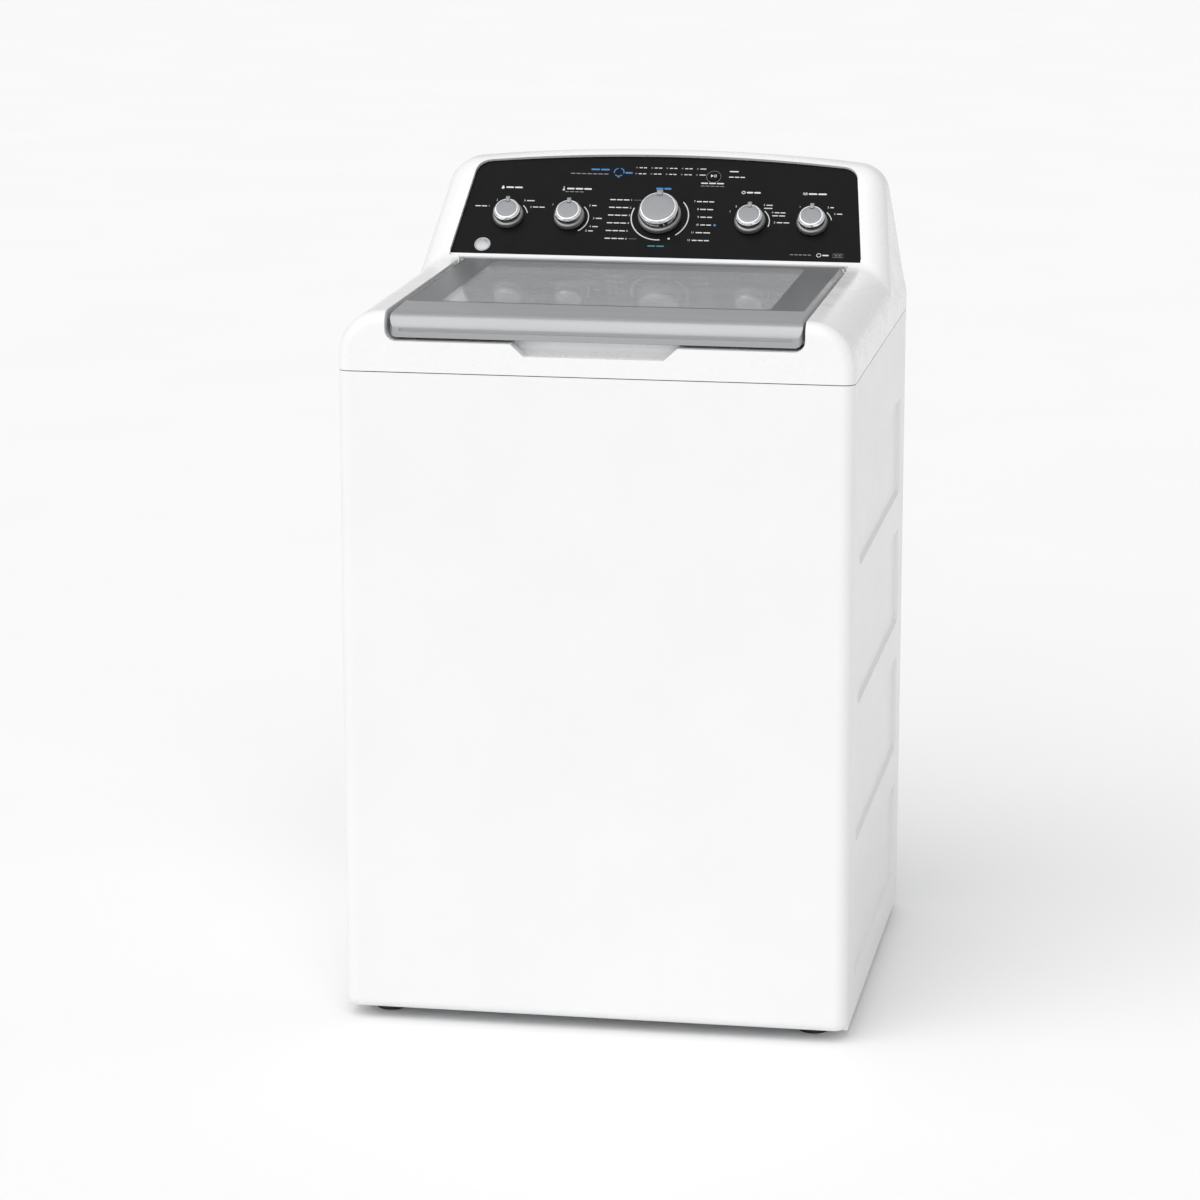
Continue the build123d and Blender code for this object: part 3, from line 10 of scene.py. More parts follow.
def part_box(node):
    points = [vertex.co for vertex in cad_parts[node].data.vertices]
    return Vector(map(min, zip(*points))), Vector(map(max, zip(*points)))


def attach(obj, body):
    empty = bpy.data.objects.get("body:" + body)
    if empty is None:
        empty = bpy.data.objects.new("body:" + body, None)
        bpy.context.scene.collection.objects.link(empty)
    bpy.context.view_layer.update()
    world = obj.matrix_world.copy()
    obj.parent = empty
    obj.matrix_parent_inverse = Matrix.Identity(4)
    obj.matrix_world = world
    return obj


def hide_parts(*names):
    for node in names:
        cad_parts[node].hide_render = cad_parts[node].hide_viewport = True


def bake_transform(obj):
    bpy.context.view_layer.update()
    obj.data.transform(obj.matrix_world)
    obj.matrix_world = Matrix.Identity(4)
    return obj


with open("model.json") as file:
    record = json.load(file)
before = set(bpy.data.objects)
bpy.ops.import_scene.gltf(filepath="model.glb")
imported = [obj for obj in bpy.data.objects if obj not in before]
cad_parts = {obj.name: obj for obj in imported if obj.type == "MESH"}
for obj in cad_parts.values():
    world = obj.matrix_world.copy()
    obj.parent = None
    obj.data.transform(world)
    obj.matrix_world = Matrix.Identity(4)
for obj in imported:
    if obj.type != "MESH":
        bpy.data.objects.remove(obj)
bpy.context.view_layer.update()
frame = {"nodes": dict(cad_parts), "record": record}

NODES = frame["nodes"]
MM = 0.001

# ---------------------------------------------------------------- places read from the frame
SLOPE = sqrt(0.5)                     # the fascia leans back at 45 degrees
FASCIA_T = 3 * MM
FASCIA_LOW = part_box("fascia_panel")[0]
# lower edge of the fascia's face, on the centre line
FASCIA_ORIGIN = Vector((0, FASCIA_LOW.y, FASCIA_LOW.z + FASCIA_T * SLOPE))
FASCIA_UP = Vector((0, SLOPE, SLOPE))
FASCIA_OUT = Vector((0, -SLOPE, SLOPE))

# dials in millimetres across and up the fascia: cap radius and height over the fascia
KNOB_V, CYCLE_V = 66.5, 72.0
DIALS = {
    "soil": (-218.4, KNOB_V, 19.5, 20.0),
    "temperature": (-129.8, KNOB_V, 19.5, 20.0),
    "cycle": (0.0, CYCLE_V, 28.5, 24.0),
    "options": (129.8, KNOB_V, 19.5, 20.0),
    "soak": (218.4, KNOB_V, 19.5, 20.0),
}
START_AT = (69.4, 145.4)
BADGE_AT = (-249.0, 15.5)
BUTTON_RISE = 2.0
LENS_COLUMNS = [1.0 + 22.0 * step for step in (-2, -1, 0, 1, 2)]
LENS_ROWS = (148.0, 158.8)


def fascia_matrix(across=0.0, up=0.0, out=0.0):
    """Frame in millimetres whose X runs across, Y up the slope and Z out of the fascia."""
    matrix = Matrix((Vector((1, 0, 0)), FASCIA_UP, FASCIA_OUT)).transposed().to_4x4()
    place = FASCIA_ORIGIN + MM * (Vector((across, 0, 0)) + up * FASCIA_UP + out * FASCIA_OUT)
    return Matrix.Translation(place) @ matrix @ Matrix.Scale(MM, 4)


# ---------------------------------------------------------------- materials
class Material:
    """A Principled material with helpers for the node chains that the finishes share."""

    def __init__(self, name, color, roughness, metallic=0.0, **sockets):
        self.material = bpy.data.materials.new(name)
        self.material.use_nodes = True
        self.nodes = self.material.node_tree.nodes
        self.links = self.material.node_tree.links
        self.shader = self.nodes["Principled BSDF"]
        self.shader.inputs["Base Color"].default_value = (*color, 1)
        self.shader.inputs["Roughness"].default_value = roughness
        self.shader.inputs["Metallic"].default_value = metallic
        for socket, value in sockets.items():
            self.shader.inputs[socket.replace("_", " ")].default_value = value
        self.coords = self.nodes.new("ShaderNodeTexCoord").outputs["Object"]

    def node(self, kind, **settings):
        made = self.nodes.new(kind)
        for key, value in settings.items():
            made.inputs[key].default_value = value
        return made

    def mapped(self, scale):
        mapping = self.node("ShaderNodeMapping", Scale=scale)
        self.links.new(self.coords, mapping.inputs["Vector"])
        return mapping.outputs["Vector"]

    def noise(self, scale, detail=3.0, stretch=(1, 1, 1)):
        made = self.node("ShaderNodeTexNoise", Scale=scale, Detail=detail)
        self.links.new(self.mapped(stretch), made.inputs["Vector"])
        return made.outputs["Fac"]

    def ramp(self, value, low, high, start=0.35, end=0.65):
        """Colour or grey that runs from low to high as value goes from start to end."""
        made = self.node("ShaderNodeValToRGB")
        for element, place, shade in zip(made.color_ramp.elements, (start, end), (low, high)):
            element.position = place
            element.color = (*shade, 1) if isinstance(shade, tuple) else (shade, shade, shade, 1)
        self.links.new(value, made.inputs["Fac"])
        return made.outputs["Color"]

    def color_between(self, value, low, high, start=0.35, end=0.65):
        self.links.new(self.ramp(value, low, high, start, end), self.shader.inputs["Base Color"])

    def roughness_between(self, value, low, high):
        self.links.new(self.ramp(value, low, high), self.shader.inputs["Roughness"])

    def bump(self, value, distance, strength=0.3):
        made = self.node("ShaderNodeBump", Strength=strength, Distance=distance)
        self.links.new(value, made.inputs["Height"])
        self.links.new(made.outputs["Normal"], self.shader.inputs["Normal"])


def tint(color, amount):
    return tuple(min(1.0, c * amount) for c in color)


def enamel(name, color, roughness):
    """Baked enamel: faint orange peel, and barely uneven colour and gloss."""
    made = Material(name, color, roughness, Coat_Weight=0.2, Coat_Roughness=0.15)
    made.color_between(made.noise(6, 2), tint(color, 0.985), color)
    made.roughness_between(made.noise(25, 3), roughness - 0.04, roughness + 0.05)
    made.bump(made.noise(90, 2), 0.1 * MM, 0.03)
    return made.material


def moulded(name, color, roughness, grain=1600, depth=0.25, uneven=0.05, gloss=0.5):
    """Moulded plastic with a fine spark-eroded grain."""
    made = Material(name, color, roughness, Specular_IOR_Level=gloss)
    made.color_between(made.noise(18, 4), tint(color, 1 - uneven), tint(color, 1 + uneven))
    made.roughness_between(made.noise(60, 3), roughness - 0.05, roughness + 0.05)
    made.bump(made.noise(grain, 2), 0.2 * MM, depth)
    return made.material


def metal(name, color, roughness, stretch, scale=300, depth=0.15):
    """Metal with a directional grain: drawn, rolled or brushed along the axis with the small stretch."""
    made = Material(name, color, roughness, 1.0)
    grain = made.noise(scale, 5, stretch)
    made.color_between(grain, tint(color, 0.88), tint(color, 1.06), 0.3, 0.7)
    made.roughness_between(grain, roughness - 0.06, roughness + 0.08)
    made.bump(grain, 0.2 * MM, depth)
    return made.material


def cast(name, color, roughness=0.5):
    """Sand-cast alloy: coarse skin and uneven colour."""
    made = Material(name, color, roughness, 0.9)
    made.color_between(made.noise(30, 6), tint(color, 0.8), tint(color, 1.1))
    made.bump(made.noise(500, 4), 0.6 * MM, 0.5)
    return made.material


def galvanised(name, color):
    """Zinc-coated sheet with its crystal spangle."""
    made = Material(name, color, 0.42, 0.85)
    cells = made.node("ShaderNodeTexVoronoi", Scale=110)
    made.links.new(made.mapped((1, 1, 1)), cells.inputs["Vector"])
    grey = made.node("ShaderNodeRGBToBW")
    made.links.new(cells.outputs["Color"], grey.inputs["Color"])
    made.color_between(grey.outputs["Val"], tint(color, 0.9), tint(color, 1.06), 0.2, 0.8)
    made.roughness_between(grey.outputs["Val"], 0.36, 0.5)
    made.bump(made.noise(300, 2), 0.2 * MM, 0.1)
    return made.material


def rubber(name, color):
    """Matte rubber with a light bloom."""
    made = Material(name, color, 0.8)
    made.color_between(made.noise(40, 5), color, tint(color, 1.9))
    made.bump(made.noise(900, 3), 0.3 * MM, 0.4)
    return made.material


def glazing(name):
    """Smoky toughened glass: see-through, glossy, with a faint haze."""
    made = Material(name, (0.66, 0.67, 0.68), 0.05, Alpha=0.5, IOR=1.5, Specular_IOR_Level=0.1)
    haze = made.noise(7, 6, (1, 2.5, 1))
    made.roughness_between(haze, 0.04, 0.09)
    made.color_between(haze, (0.62, 0.63, 0.645), (0.68, 0.69, 0.705))
    return made.material


def silver_paint(name, color, roughness=0.34):
    """Metallic silver lacquer over plastic: fine flake, soft sheen and a clear coat."""
    made = Material(name, color, roughness, 0.7, Coat_Weight=0.3, Coat_Roughness=0.1)
    flake = made.noise(2600, 2)
    made.color_between(flake, tint(color, 0.93), tint(color, 1.07), 0.3, 0.7)
    made.roughness_between(made.noise(40, 4, (0.1, 1, 1)), roughness - 0.04, roughness + 0.06)
    made.bump(flake, 0.1 * MM, 0.08)
    return made.material


def ink(name, color):
    """Screen-printed ink: slightly uneven and semi-matte."""
    made = Material(name, color, 0.45)
    made.color_between(made.noise(900, 3), tint(color, 0.88), color)
    made.bump(made.noise(2500, 2), 0.05 * MM, 0.2)
    return made.material


def frit(name, color):
    """Ceramic print fired onto the glass: satin, with a fine dot screen."""
    made = Material(name, color, 0.3, Specular_IOR_Level=0.03)
    dots = made.node("ShaderNodeTexVoronoi", Scale=900)
    made.links.new(made.mapped((1, 1, 1)), dots.inputs["Vector"])
    made.color_between(dots.outputs["Distance"], tint(color, 1.12), tint(color, 0.9), 0.1, 0.6)
    return made.material


WHITE = (0.82, 0.82, 0.825)
FINISH = {
    "white_paint": enamel("cabinet_enamel", WHITE, 0.36),
    "white_cover": enamel("cover_enamel", (0.83, 0.83, 0.835), 0.28),
    "galvanised_steel": galvanised("zinc_spangle", (0.62, 0.64, 0.66)),
    "zinc_steel": metal("bright_zinc", (0.72, 0.72, 0.70), 0.3, (1, 1, 0.05)),
    "silver_frame": silver_paint("silver_lacquer", (0.375, 0.38, 0.39)),
    "window_glass": glazing("toughened_glass"),
    "grey_plastic": moulded("liner_plastic", (0.66, 0.67, 0.68), 0.5),
    "white_plastic": moulded("white_moulding", (0.82, 0.82, 0.80), 0.42),
    "black_fascia": moulded("fascia_black", (0.006, 0.006, 0.0064), 0.38, 2200, 0.08, gloss=0.08),
    "black_plastic": moulded("black_moulding", (0.02, 0.02, 0.021), 0.55),
    "knob_silver": silver_paint("knob_lacquer", (0.42, 0.43, 0.44), 0.3),
    "lens": moulded("lens_clear", (0.10, 0.11, 0.12), 0.15, 300, 0.05),
    "board_green": moulded("board_laminate", (0.02, 0.16, 0.06), 0.35, 700, 0.3),
    "rubber": rubber("black_rubber", (0.018, 0.018, 0.018)),
    "tub_plastic": moulded("tub_moulding", (0.74, 0.75, 0.76), 0.4),
    "stainless": metal("stainless_drum", (0.72, 0.73, 0.74), 0.24, (1, 1, 0.03), 500, 0.08),
    "spring_steel": metal("spring_wire", (0.30, 0.31, 0.33), 0.38, (1, 1, 1), 700, 0.2),
    "hose_grey": moulded("hose_grey", (0.36, 0.37, 0.38), 0.6),
    "cast_alloy": cast("cast_alloy", (0.58, 0.59, 0.60)),
    "motor_case": cast("motor_enamel", (0.12, 0.125, 0.13), 0.45),
    "agitator_plastic": moulded("agitator_moulding", (0.70, 0.73, 0.76), 0.34),
    "nylon": moulded("nylon", (0.80, 0.79, 0.73), 0.5),
}
SKIRT = silver_paint("knob_skirt_pewter", (0.30, 0.30, 0.305), 0.3)
CHROME = metal("bright_chrome", (0.86, 0.87, 0.88), 0.12, (1, 1, 1), 60, 0.03)
BADGE = metal("badge_silver", (0.40, 0.41, 0.42), 0.3, (1, 1, 1), 200, 0.05)
FACE = metal("brushed_face", (0.27, 0.277, 0.287), 0.38, (0.03, 1, 1), 1400, 0.12)
INK_WHITE = ink("ink_white", (0.72, 0.72, 0.72))
INK_GREY = ink("ink_grey", (0.22, 0.22, 0.23))
INK_BLUE = ink("ink_blue", (0.03, 0.20, 0.48))
INK_TEAL = ink("ink_teal", (0.03, 0.20, 0.24))
BORDER = frit("glass_border_frit", (0.175, 0.178, 0.183))

for entry in frame["record"]["subparts"]:
    node = NODES[entry["node"]]
    node.data.materials.clear()
    node.data.materials.append(FINISH[entry["material_slot"]])


# ---------------------------------------------------------------- mesh helpers
def piece(name, bm, matrix, body, material, sharp=35):
    """A finished mesh as an object with the given material that, if a body is named, rides on it."""
    bmesh.ops.recalc_face_normals(bm, faces=bm.faces)
    mesh = bpy.data.meshes.new(name)
    bm.to_mesh(mesh)
    bm.free()
    mesh.transform(matrix)
    mesh.materials.append(material)
    for polygon in mesh.polygons:
        polygon.use_smooth = True
    mesh.set_sharp_from_angle(angle=radians(sharp))
    made = bpy.data.objects.new(name, mesh)
    bpy.context.scene.collection.objects.link(made)
    if body:
        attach(made, body)
    return made


def eased(points, steps=5):
    """Profile of (radius, height, easing) whose corners are rounded over their easing length."""
    line = [Vector(point[:2]) for point in points]
    out = []
    for i, here in enumerate(line):
        ease = points[i][2]
        if ease == 0:
            out.append(here)
            continue
        start = here + (line[i - 1] - here).normalized() * ease
        end = here + (line[i + 1] - here).normalized() * ease
        for step in range(steps + 1):
            t = step / steps
            out.append(start.lerp(here, t).lerp(here.lerp(end, t), t))
    return out


def turned(bm, points, sides=96):
    """Closed surface of revolution about Z from a profile that starts and ends on the axis."""
    rows = []
    for radius, height in eased(points):
        if radius < 1e-6:
            rows.append([bm.verts.new((0, 0, height))])
        else:
            rows.append([
                bm.verts.new((radius * cos(2 * pi * i / sides), radius * sin(2 * pi * i / sides), height))
                for i in range(sides)
            ])
    for low, high in zip(rows, rows[1:]):
        for i in range(sides):
            j = (i + 1) % sides
            corners = [low[i % len(low)], low[j % len(low)], high[j % len(high)], high[i % len(high)]]
            bm.faces.new(list(dict.fromkeys(corners)))


def prism(bm, outline, low, high, edge=0.0):
    """Closed plate between two heights, its upper edge bevelled."""
    below = [bm.verts.new((x, y, low)) for x, y in outline]
    above = [bm.verts.new((x, y, high)) for x, y in outline]
    top = bm.faces.new(above)
    bm.faces.new(reversed(below))
    for i in range(len(outline)):
        j = (i + 1) % len(outline)
        bm.faces.new((below[i], below[j], above[j], above[i]))
    if edge:
        bmesh.ops.bevel(bm, geom=list(top.edges), offset=edge, segments=3, profile=0.5, affect="EDGES")


def band(bm, path, width, low, high, closed=False):
    """Raised stroke of even width along a path of (x, y), with rounded ends unless it closes."""
    rows = []
    for i, (x, y) in enumerate(path):
        ahead = path[(i + 1) % len(path)] if closed or i < len(path) - 1 else path[i]
        behind = path[i - 1] if closed or i > 0 else path[i]
        along = Vector((ahead[0] - behind[0], ahead[1] - behind[1])).normalized()
        rows.append((Vector((x, y)), along, width / 2))
    if not closed:
        caps = [(sin(radians(a)) * width / 2, cos(radians(a)) * width / 2) for a in (30, 58, 82)]
        first, last = rows[0], rows[-1]
        rows = [(first[0] - first[1] * d, first[1], w) for d, w in reversed(caps)] + rows
        rows += [(last[0] + last[1] * d, last[1], w) for d, w in caps]
    rings = []
    for centre, along, half in rows:
        side = Vector((-along.y, along.x)) * half
        left, right = centre + side, centre - side
        rings.append([
            bm.verts.new((left.x, left.y, low)), bm.verts.new((right.x, right.y, low)),
            bm.verts.new((right.x, right.y, high)), bm.verts.new((left.x, left.y, high)),
        ])
    pairs = list(zip(rings, rings[1:]))
    if closed:
        pairs.append((rings[-1], rings[0]))
    else:
        bm.faces.new(rings[0])
        bm.faces.new(reversed(rings[-1]))
    for here, there in pairs:
        for k in range(4):
            bm.faces.new((here[k], here[(k + 1) % 4], there[(k + 1) % 4], there[k]))


def arc(centre, radius, start, end):
    """Points of an arc; angles in degrees, clockwise from the top."""
    steps = max(6, ceil(abs(end - start) / 4))
    turn = [radians(start + (end - start) * i / steps) for i in range(steps + 1)]
    return [(centre[0] + radius * sin(a), centre[1] + radius * cos(a)) for a in turn]


def tube(bm, points, radii, sides=10):
    """Closed tube through 3-D points, each with its own radius."""
    rings = []
    count = len(points)
    tangents = [(points[min(i + 1, count - 1)] - points[max(i - 1, 0)]).normalized() for i in range(count)]
    across = tangents[0].orthogonal().normalized()
    for point, along, radius in zip(points, tangents, radii):
        across = (across - along * across.dot(along)).normalized()
        other = along.cross(across)
        turns = [2 * pi * k / sides for k in range(sides)]
        rings.append([bm.verts.new(point + radius * (cos(a) * across + sin(a) * other)) for a in turns])
    for here, there in zip(rings, rings[1:]):
        for k in range(sides):
            bm.faces.new((here[k], here[(k + 1) % sides], there[(k + 1) % sides], there[k]))
    bm.faces.new(reversed(rings[0]))
    bm.faces.new(rings[-1])


# ---------------------------------------------------------------- dials
def dial(name, across, up, cap_r, height):
    """Pewter skirt, chrome bezel, pointer, and the brushed face set into the bezel."""
    body, node, place = name + "_dial", name + "_knob", fascia_matrix(across, up)
    bm = bmesh.new()
    turned(bm, [
        (0, 1.0, 0), (cap_r + 2.2, 1.0, 0.6), (cap_r + 3.0, 2.0, 0.7), (cap_r + 2.2, 7.4, 1.4),
        (cap_r - 0.6, 9.0, 0.6), (cap_r - 2.5, 9.0, 0.3), (cap_r - 2.7, 11.6, 0), (0, 11.6, 0),
    ])
    skirt = piece(name + "_skirt", bm, place, body, SKIRT)
    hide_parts(node)

    bm = bmesh.new()
    turned(bm, [
        (0, 11.4, 0), (cap_r - 0.5, 11.4, 0.5), (cap_r, 12.4, 0.5), (cap_r, height - 3.6, 0.9),
        (cap_r - 3.2, height - 0.2, 0.9), (cap_r - 4.3, height - 0.2, 0.3), (cap_r - 4.5, height - 0.9, 0),
        (0, height - 0.9, 0),
    ])
    bezel = piece(name + "_bezel", bm, place, body, CHROME)
    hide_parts(node)

    bm = bmesh.new()
    inner, outer, tip = cap_r * 0.13, cap_r * 0.17, cap_r + 1.0
    outline = [
        (-inner, cap_r - 8.0), (inner, cap_r - 8.0), (outer, tip - 1.5), (outer - 0.8, tip),
        (0.8 - outer, tip), (-outer, tip - 1.5),
    ]
    prism(bm, outline, height - 4.5, height + 1.0, 0.7)
    pointer = piece(name + "_pointer", bm, place, body, FACE)
    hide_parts(node)

    bm = bmesh.new()
    turned(bm, [
        (0, height - 1.2, 0), (cap_r - 4.7, height - 1.2, 0), (cap_r - 4.7, height - 0.5, 0.25),
        (cap_r * 0.5, height - 0.3, 1.0), (0, height - 0.25, 0),
    ])
    face = piece(name + "_face", bm, place, body, FACE)
    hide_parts(node)


for name, facts in DIALS.items():
    dial(name, *facts)


# ---------------------------------------------------------------- printed fascia
class Sheet:
    """Marks of one ink colour, in millimetres across and up the fascia."""

    LOW, HIGH = -0.05, 0.10

    def __init__(self, name, material):
        self.name, self.material, self.bm = name, material, bmesh.new()

    def line(self, path, width, closed=False):
        band(self.bm, path, width, self.LOW, self.HIGH, closed)

    def ring(self, centre, radius, width):
        self.line(arc(centre, radius, 0, 360)[:-1], width, closed=True)

    def shape(self, outline):
        prism(self.bm, outline, self.LOW, self.HIGH)

    def dot(self, x, y, radius):
        self.shape(arc((x, y), radius, 360, 0)[:-1])

    def dashes(self, left, right, up, height=1.7, longest=9.0):
        """A row of rounded dashes that stands for a word or two."""
        gap = 1.3
        count = max(1, round((right - left) / longest))
        long = (right - left - gap * (count - 1)) / count
        for i in range(count):
            start = left + i * (long + gap) + height / 2
            self.line([(start, up), (start + max(long - height, 0.2), up)], height)

    def figure(self, text, x, y, size=4.6):
        curve = bpy.data.curves.new("figure", "FONT")
        curve.body, curve.size, curve.extrude = text, size, (self.HIGH - self.LOW) / 2
        curve.align_x, curve.align_y, curve.resolution_u = "CENTER", "CENTER", 4
        holder = bpy.data.objects.new("figure", curve)
        mesh = bpy.data.meshes.new_from_object(holder)
        mesh.transform(Matrix.Translation((x, y, (self.HIGH + self.LOW) / 2)))
        self.bm.from_mesh(mesh)
        bpy.data.objects.remove(holder)
        bpy.data.curves.remove(curve)
        bpy.data.meshes.remove(mesh)

    def finish(self):
        bmesh.ops.remove_doubles(self.bm, verts=self.bm.verts, dist=0.002)
        piece(self.name, self.bm, fascia_matrix(), "cabinet", self.material)


white, grey = Sheet("print_white", INK_WHITE), Sheet("print_grey", INK_GREY)
blue, teal = Sheet("print_blue", INK_BLUE), Sheet("print_teal", INK_TEAL)

# each small dial: clock angles of its settings, how far their rows reach, length of its heading
SMALL_DIALS = {
    "soil": ((-60, -35, 35, 60), 20, 24),
    "temperature": ((-50, 50, 90, 115, 130), 9, 36),
    "options": ((-60, -40, 30, 60, 90), 18, 20),
    "soak": ((-35, 35, 60), 9, 26),
}
SETTING_R = 35.0                      # circle of the figures round a small dial
FIGURE_GAP = 3.0                      # from a figure's middle to its row
HEADING_RISE = 52.0
HEADING_IN = 10.0                     # a heading starts this much left of its dial's middle
PICTOGRAM_IN = 14.5


def settings(name):
    """Numbered settings on a circle round a small dial, each with a row that is longest at its side."""
    across, up = DIALS[name][:2]
    angles, reach, _ = SMALL_DIALS[name]
    for count, angle in enumerate(angles):
        x = across + SETTING_R * sin(radians(angle))
        y = up + SETTING_R * cos(radians(angle))
        white.figure(str(count + 1), x, y)
        long = reach * abs(sin(radians(angle)))
        if angle > 0:
            white.dashes(x + FIGURE_GAP, x + FIGURE_GAP + long, y, 1.6)
        elif name == "soil" and count == 0:
            white.dashes(x - FIGURE_GAP - long, x - FIGURE_GAP, y, 1.6)
        if name == "options" and 0 < angle < 90:
            white.dashes(x, x + FIGURE_GAP + long, y - 5.5, 1.6)


for name in SMALL_DIALS:
    settings(name)

# six rows on each side of the large dial, numbered down the left and then down the right
CYCLE_ROWS, CYCLE_TOP, CYCLE_PITCH = 6, 28.5, 13.75
CYCLE_OUT, CYCLE_LEFT_IN, CYCLE_RIGHT_R = 75.0, 44.0, 55.0
for count in range(CYCLE_ROWS):
    rise = CYCLE_TOP - CYCLE_PITCH * count
    up = CYCLE_V + rise
    start = max(sqrt(CYCLE_RIGHT_R ** 2 - rise ** 2), CYCLE_LEFT_IN)
    white.figure(str(count + 1), -CYCLE_LEFT_IN, up)
    white.dashes(-CYCLE_OUT, -CYCLE_LEFT_IN - FIGURE_GAP, up)
    two_figures = 1.5 if count + 7 > 9 else 0
    white.figure(str(count + 7), start + two_figures, up)
    white.dashes(start + FIGURE_GAP + 2 * two_figures, CYCLE_OUT, up)
    if count in (0, CYCLE_ROWS - 1):
        grey.line([(-CYCLE_LEFT_IN + 4, up), (-CYCLE_LEFT_IN + 15, up)], 0.6)
    if count == 3:
        blue.dot(CYCLE_OUT + 5, up, 1.9)

# headings over the dials, each with a pictogram at its left
PICTOGRAM_V = KNOB_V + HEADING_RISE
icon_x = {name: DIALS[name][0] - PICTOGRAM_IN for name in SMALL_DIALS}
for name, (_, _, long) in SMALL_DIALS.items():
    left = DIALS[name][0] - HEADING_IN
    white.dashes(left, left + long, PICTOGRAM_V, 2.7, 13.0)
grey.dashes(DIALS["temperature"][0] - 12, DIALS["temperature"][0] + 15, PICTOGRAM_V - 5.5, 1.2, 7.0)
blue.dashes(-11, 11, CYCLE_V + 50, 3.2, 11.0)
drop = arc((icon_x["soil"], PICTOGRAM_V - 1), 2.1, 60, 300)
white.shape(list(reversed(drop + [(icon_x["soil"], PICTOGRAM_V + 3.5)])))
white.dot(icon_x["temperature"], PICTOGRAM_V - 2, 1.7)
white.line([(icon_x["temperature"], PICTOGRAM_V - 1.5), (icon_x["temperature"], PICTOGRAM_V + 3)], 1.2)
white.ring((icon_x["options"], PICTOGRAM_V), 1.9, 0.9)
for turn in range(8):
    x_part, v_part = sin(turn * pi / 4), cos(turn * pi / 4)
    white.line([(icon_x["options"] + r * x_part, PICTOGRAM_V + r * v_part) for r in (2.3, 3.0)], 0.8)
for rise in (-1.2, 1.2):
    wave = [(icon_x["soak"] - 3 + i * 0.35, PICTOGRAM_V + rise + 0.7 * sin(i * pi / 5)) for i in range(17)]
    white.line(wave, 0.9)

# pointer arcs: round the large dial in two parts, and past the settings of each small dial
white.line(arc((0, CYCLE_V), 41, 50, 140), 1.6)
white.line(arc((0, CYCLE_V), 41, 175, 290), 1.6)
white.dot(*arc((0, CYCLE_V), 42, 156, 157)[0], 1.7)
for name, (angles, _, _) in SMALL_DIALS.items():
    white.line(arc(DIALS[name][:2], 27.5, 45, max(angles[-1], 60) + 15), 1.4)
teal.dashes(-12, 12, 20, 2.3, 12.0)

# load sensing icon with rows at its sides, top left
ICON_AT = (-68.0, 150.0)
ICON_R = 7.0
blue.dashes(ICON_AT[0] - 41, ICON_AT[0] - 14, ICON_AT[1] + 4, 2.8, 13.0)
grey.dashes(ICON_AT[0] - 70, ICON_AT[0] - 15, ICON_AT[1] - 4, 1.5, 8.0)
for start in (20, 140, 260):
    blue.line(arc(ICON_AT, ICON_R, start, start + 80), 1.5)
blue.dot(ICON_AT[0], ICON_AT[1] - ICON_R - 1, 1.8)
blue.dashes(ICON_AT[0] + 9, ICON_AT[0] + 20, ICON_AT[1] - 1, 3.0, 11.0)

# rows beside the indicator lenses, and the start button's ring and rows
START_X, START_V = START_AT
for row in LENS_ROWS:
    for column in LENS_COLUMNS:
        white.dashes(column + 3.6, min(column + 14.6, START_X - 12), row, 1.5, 7.0)
grey.ring(START_AT, 10.2, 0.5)
white.dashes(START_X - 17, START_X + 16, START_V - 12, 2.1, 12.0)
grey.dashes(START_X - 17, START_X + 17, START_V - 17, 1.2, 7.0)
white.dashes(START_X + 22, START_X + 35, START_V + 10, 1.9, 13.0)
white.dashes(START_X + 22, START_X + 45, START_V, 1.7, 8.0)

# small generic marks in one row, bottom right
MARKS_X, MARKS_V = 192.0, 11.0
grey.dashes(MARKS_X, MARKS_X + 30, MARKS_V, 1.5, 6.0)
white.ring((MARKS_X + 41, MARKS_V), 3.0, 0.9)
white.line([(MARKS_X + 47, MARKS_V), (MARKS_X + 54, MARKS_V)], 2.2)
box_left, box_right = MARKS_X + 61, MARKS_X + 75
box_low, box_high = MARKS_V - 3, MARKS_V + 3
box = [(box_left, box_low), (box_right, box_low), (box_right, box_high), (box_left, box_high)]
grey.line(box, 0.7, closed=True)
grey.dashes(box_left + 2.5, box_right - 2.5, MARKS_V, 1.6, 5.0)
for sheet in (white, grey, blue, teal):
    sheet.finish()

# play and pause marks on the start button
bm = bmesh.new()
prism(bm, [(-3.6, -2.6), (0.4, 0.0), (-3.6, 2.6)], -0.05, 0.1)
for x in (1.7, 3.7):
    band(bm, [(x, -2.0), (x, 2.0)], 0.9, -0.05, 0.1)
piece("start_marks", bm, fascia_matrix(*START_AT, BUTTON_RISE), "start_key", INK_WHITE)

# blank round badge, bottom left
bm = bmesh.new()
turned(bm, [
    (0, -0.2, 0), (12.0, -0.2, 0), (12.0, 0.9, 0.4), (11.2, 1.5, 0.4), (10.2, 1.5, 0.3), (9.8, 1.0, 0.3),
    (6.0, 1.5, 2.0), (0, 1.7, 0),
])
piece("badge", bm, fascia_matrix(*BADGE_AT), "cabinet", BADGE)


# ---------------------------------------------------------------- lid glass border
def rounded_box(low, high, radius, steps=8):
    """Outline of a box with rounded corners, anticlockwise."""
    out = []
    corners = [(high[0] - radius, high[1] - radius, 0), (low[0] + radius, high[1] - radius, 90),
               (low[0] + radius, low[1] + radius, 180), (high[0] - radius, low[1] + radius, 270)]
    for x, y, start in corners:
        for i in range(steps + 1):
            angle = radians(start + 90 * i / steps)
            out.append((x + radius * cos(angle), y + radius * sin(angle)))
    return out


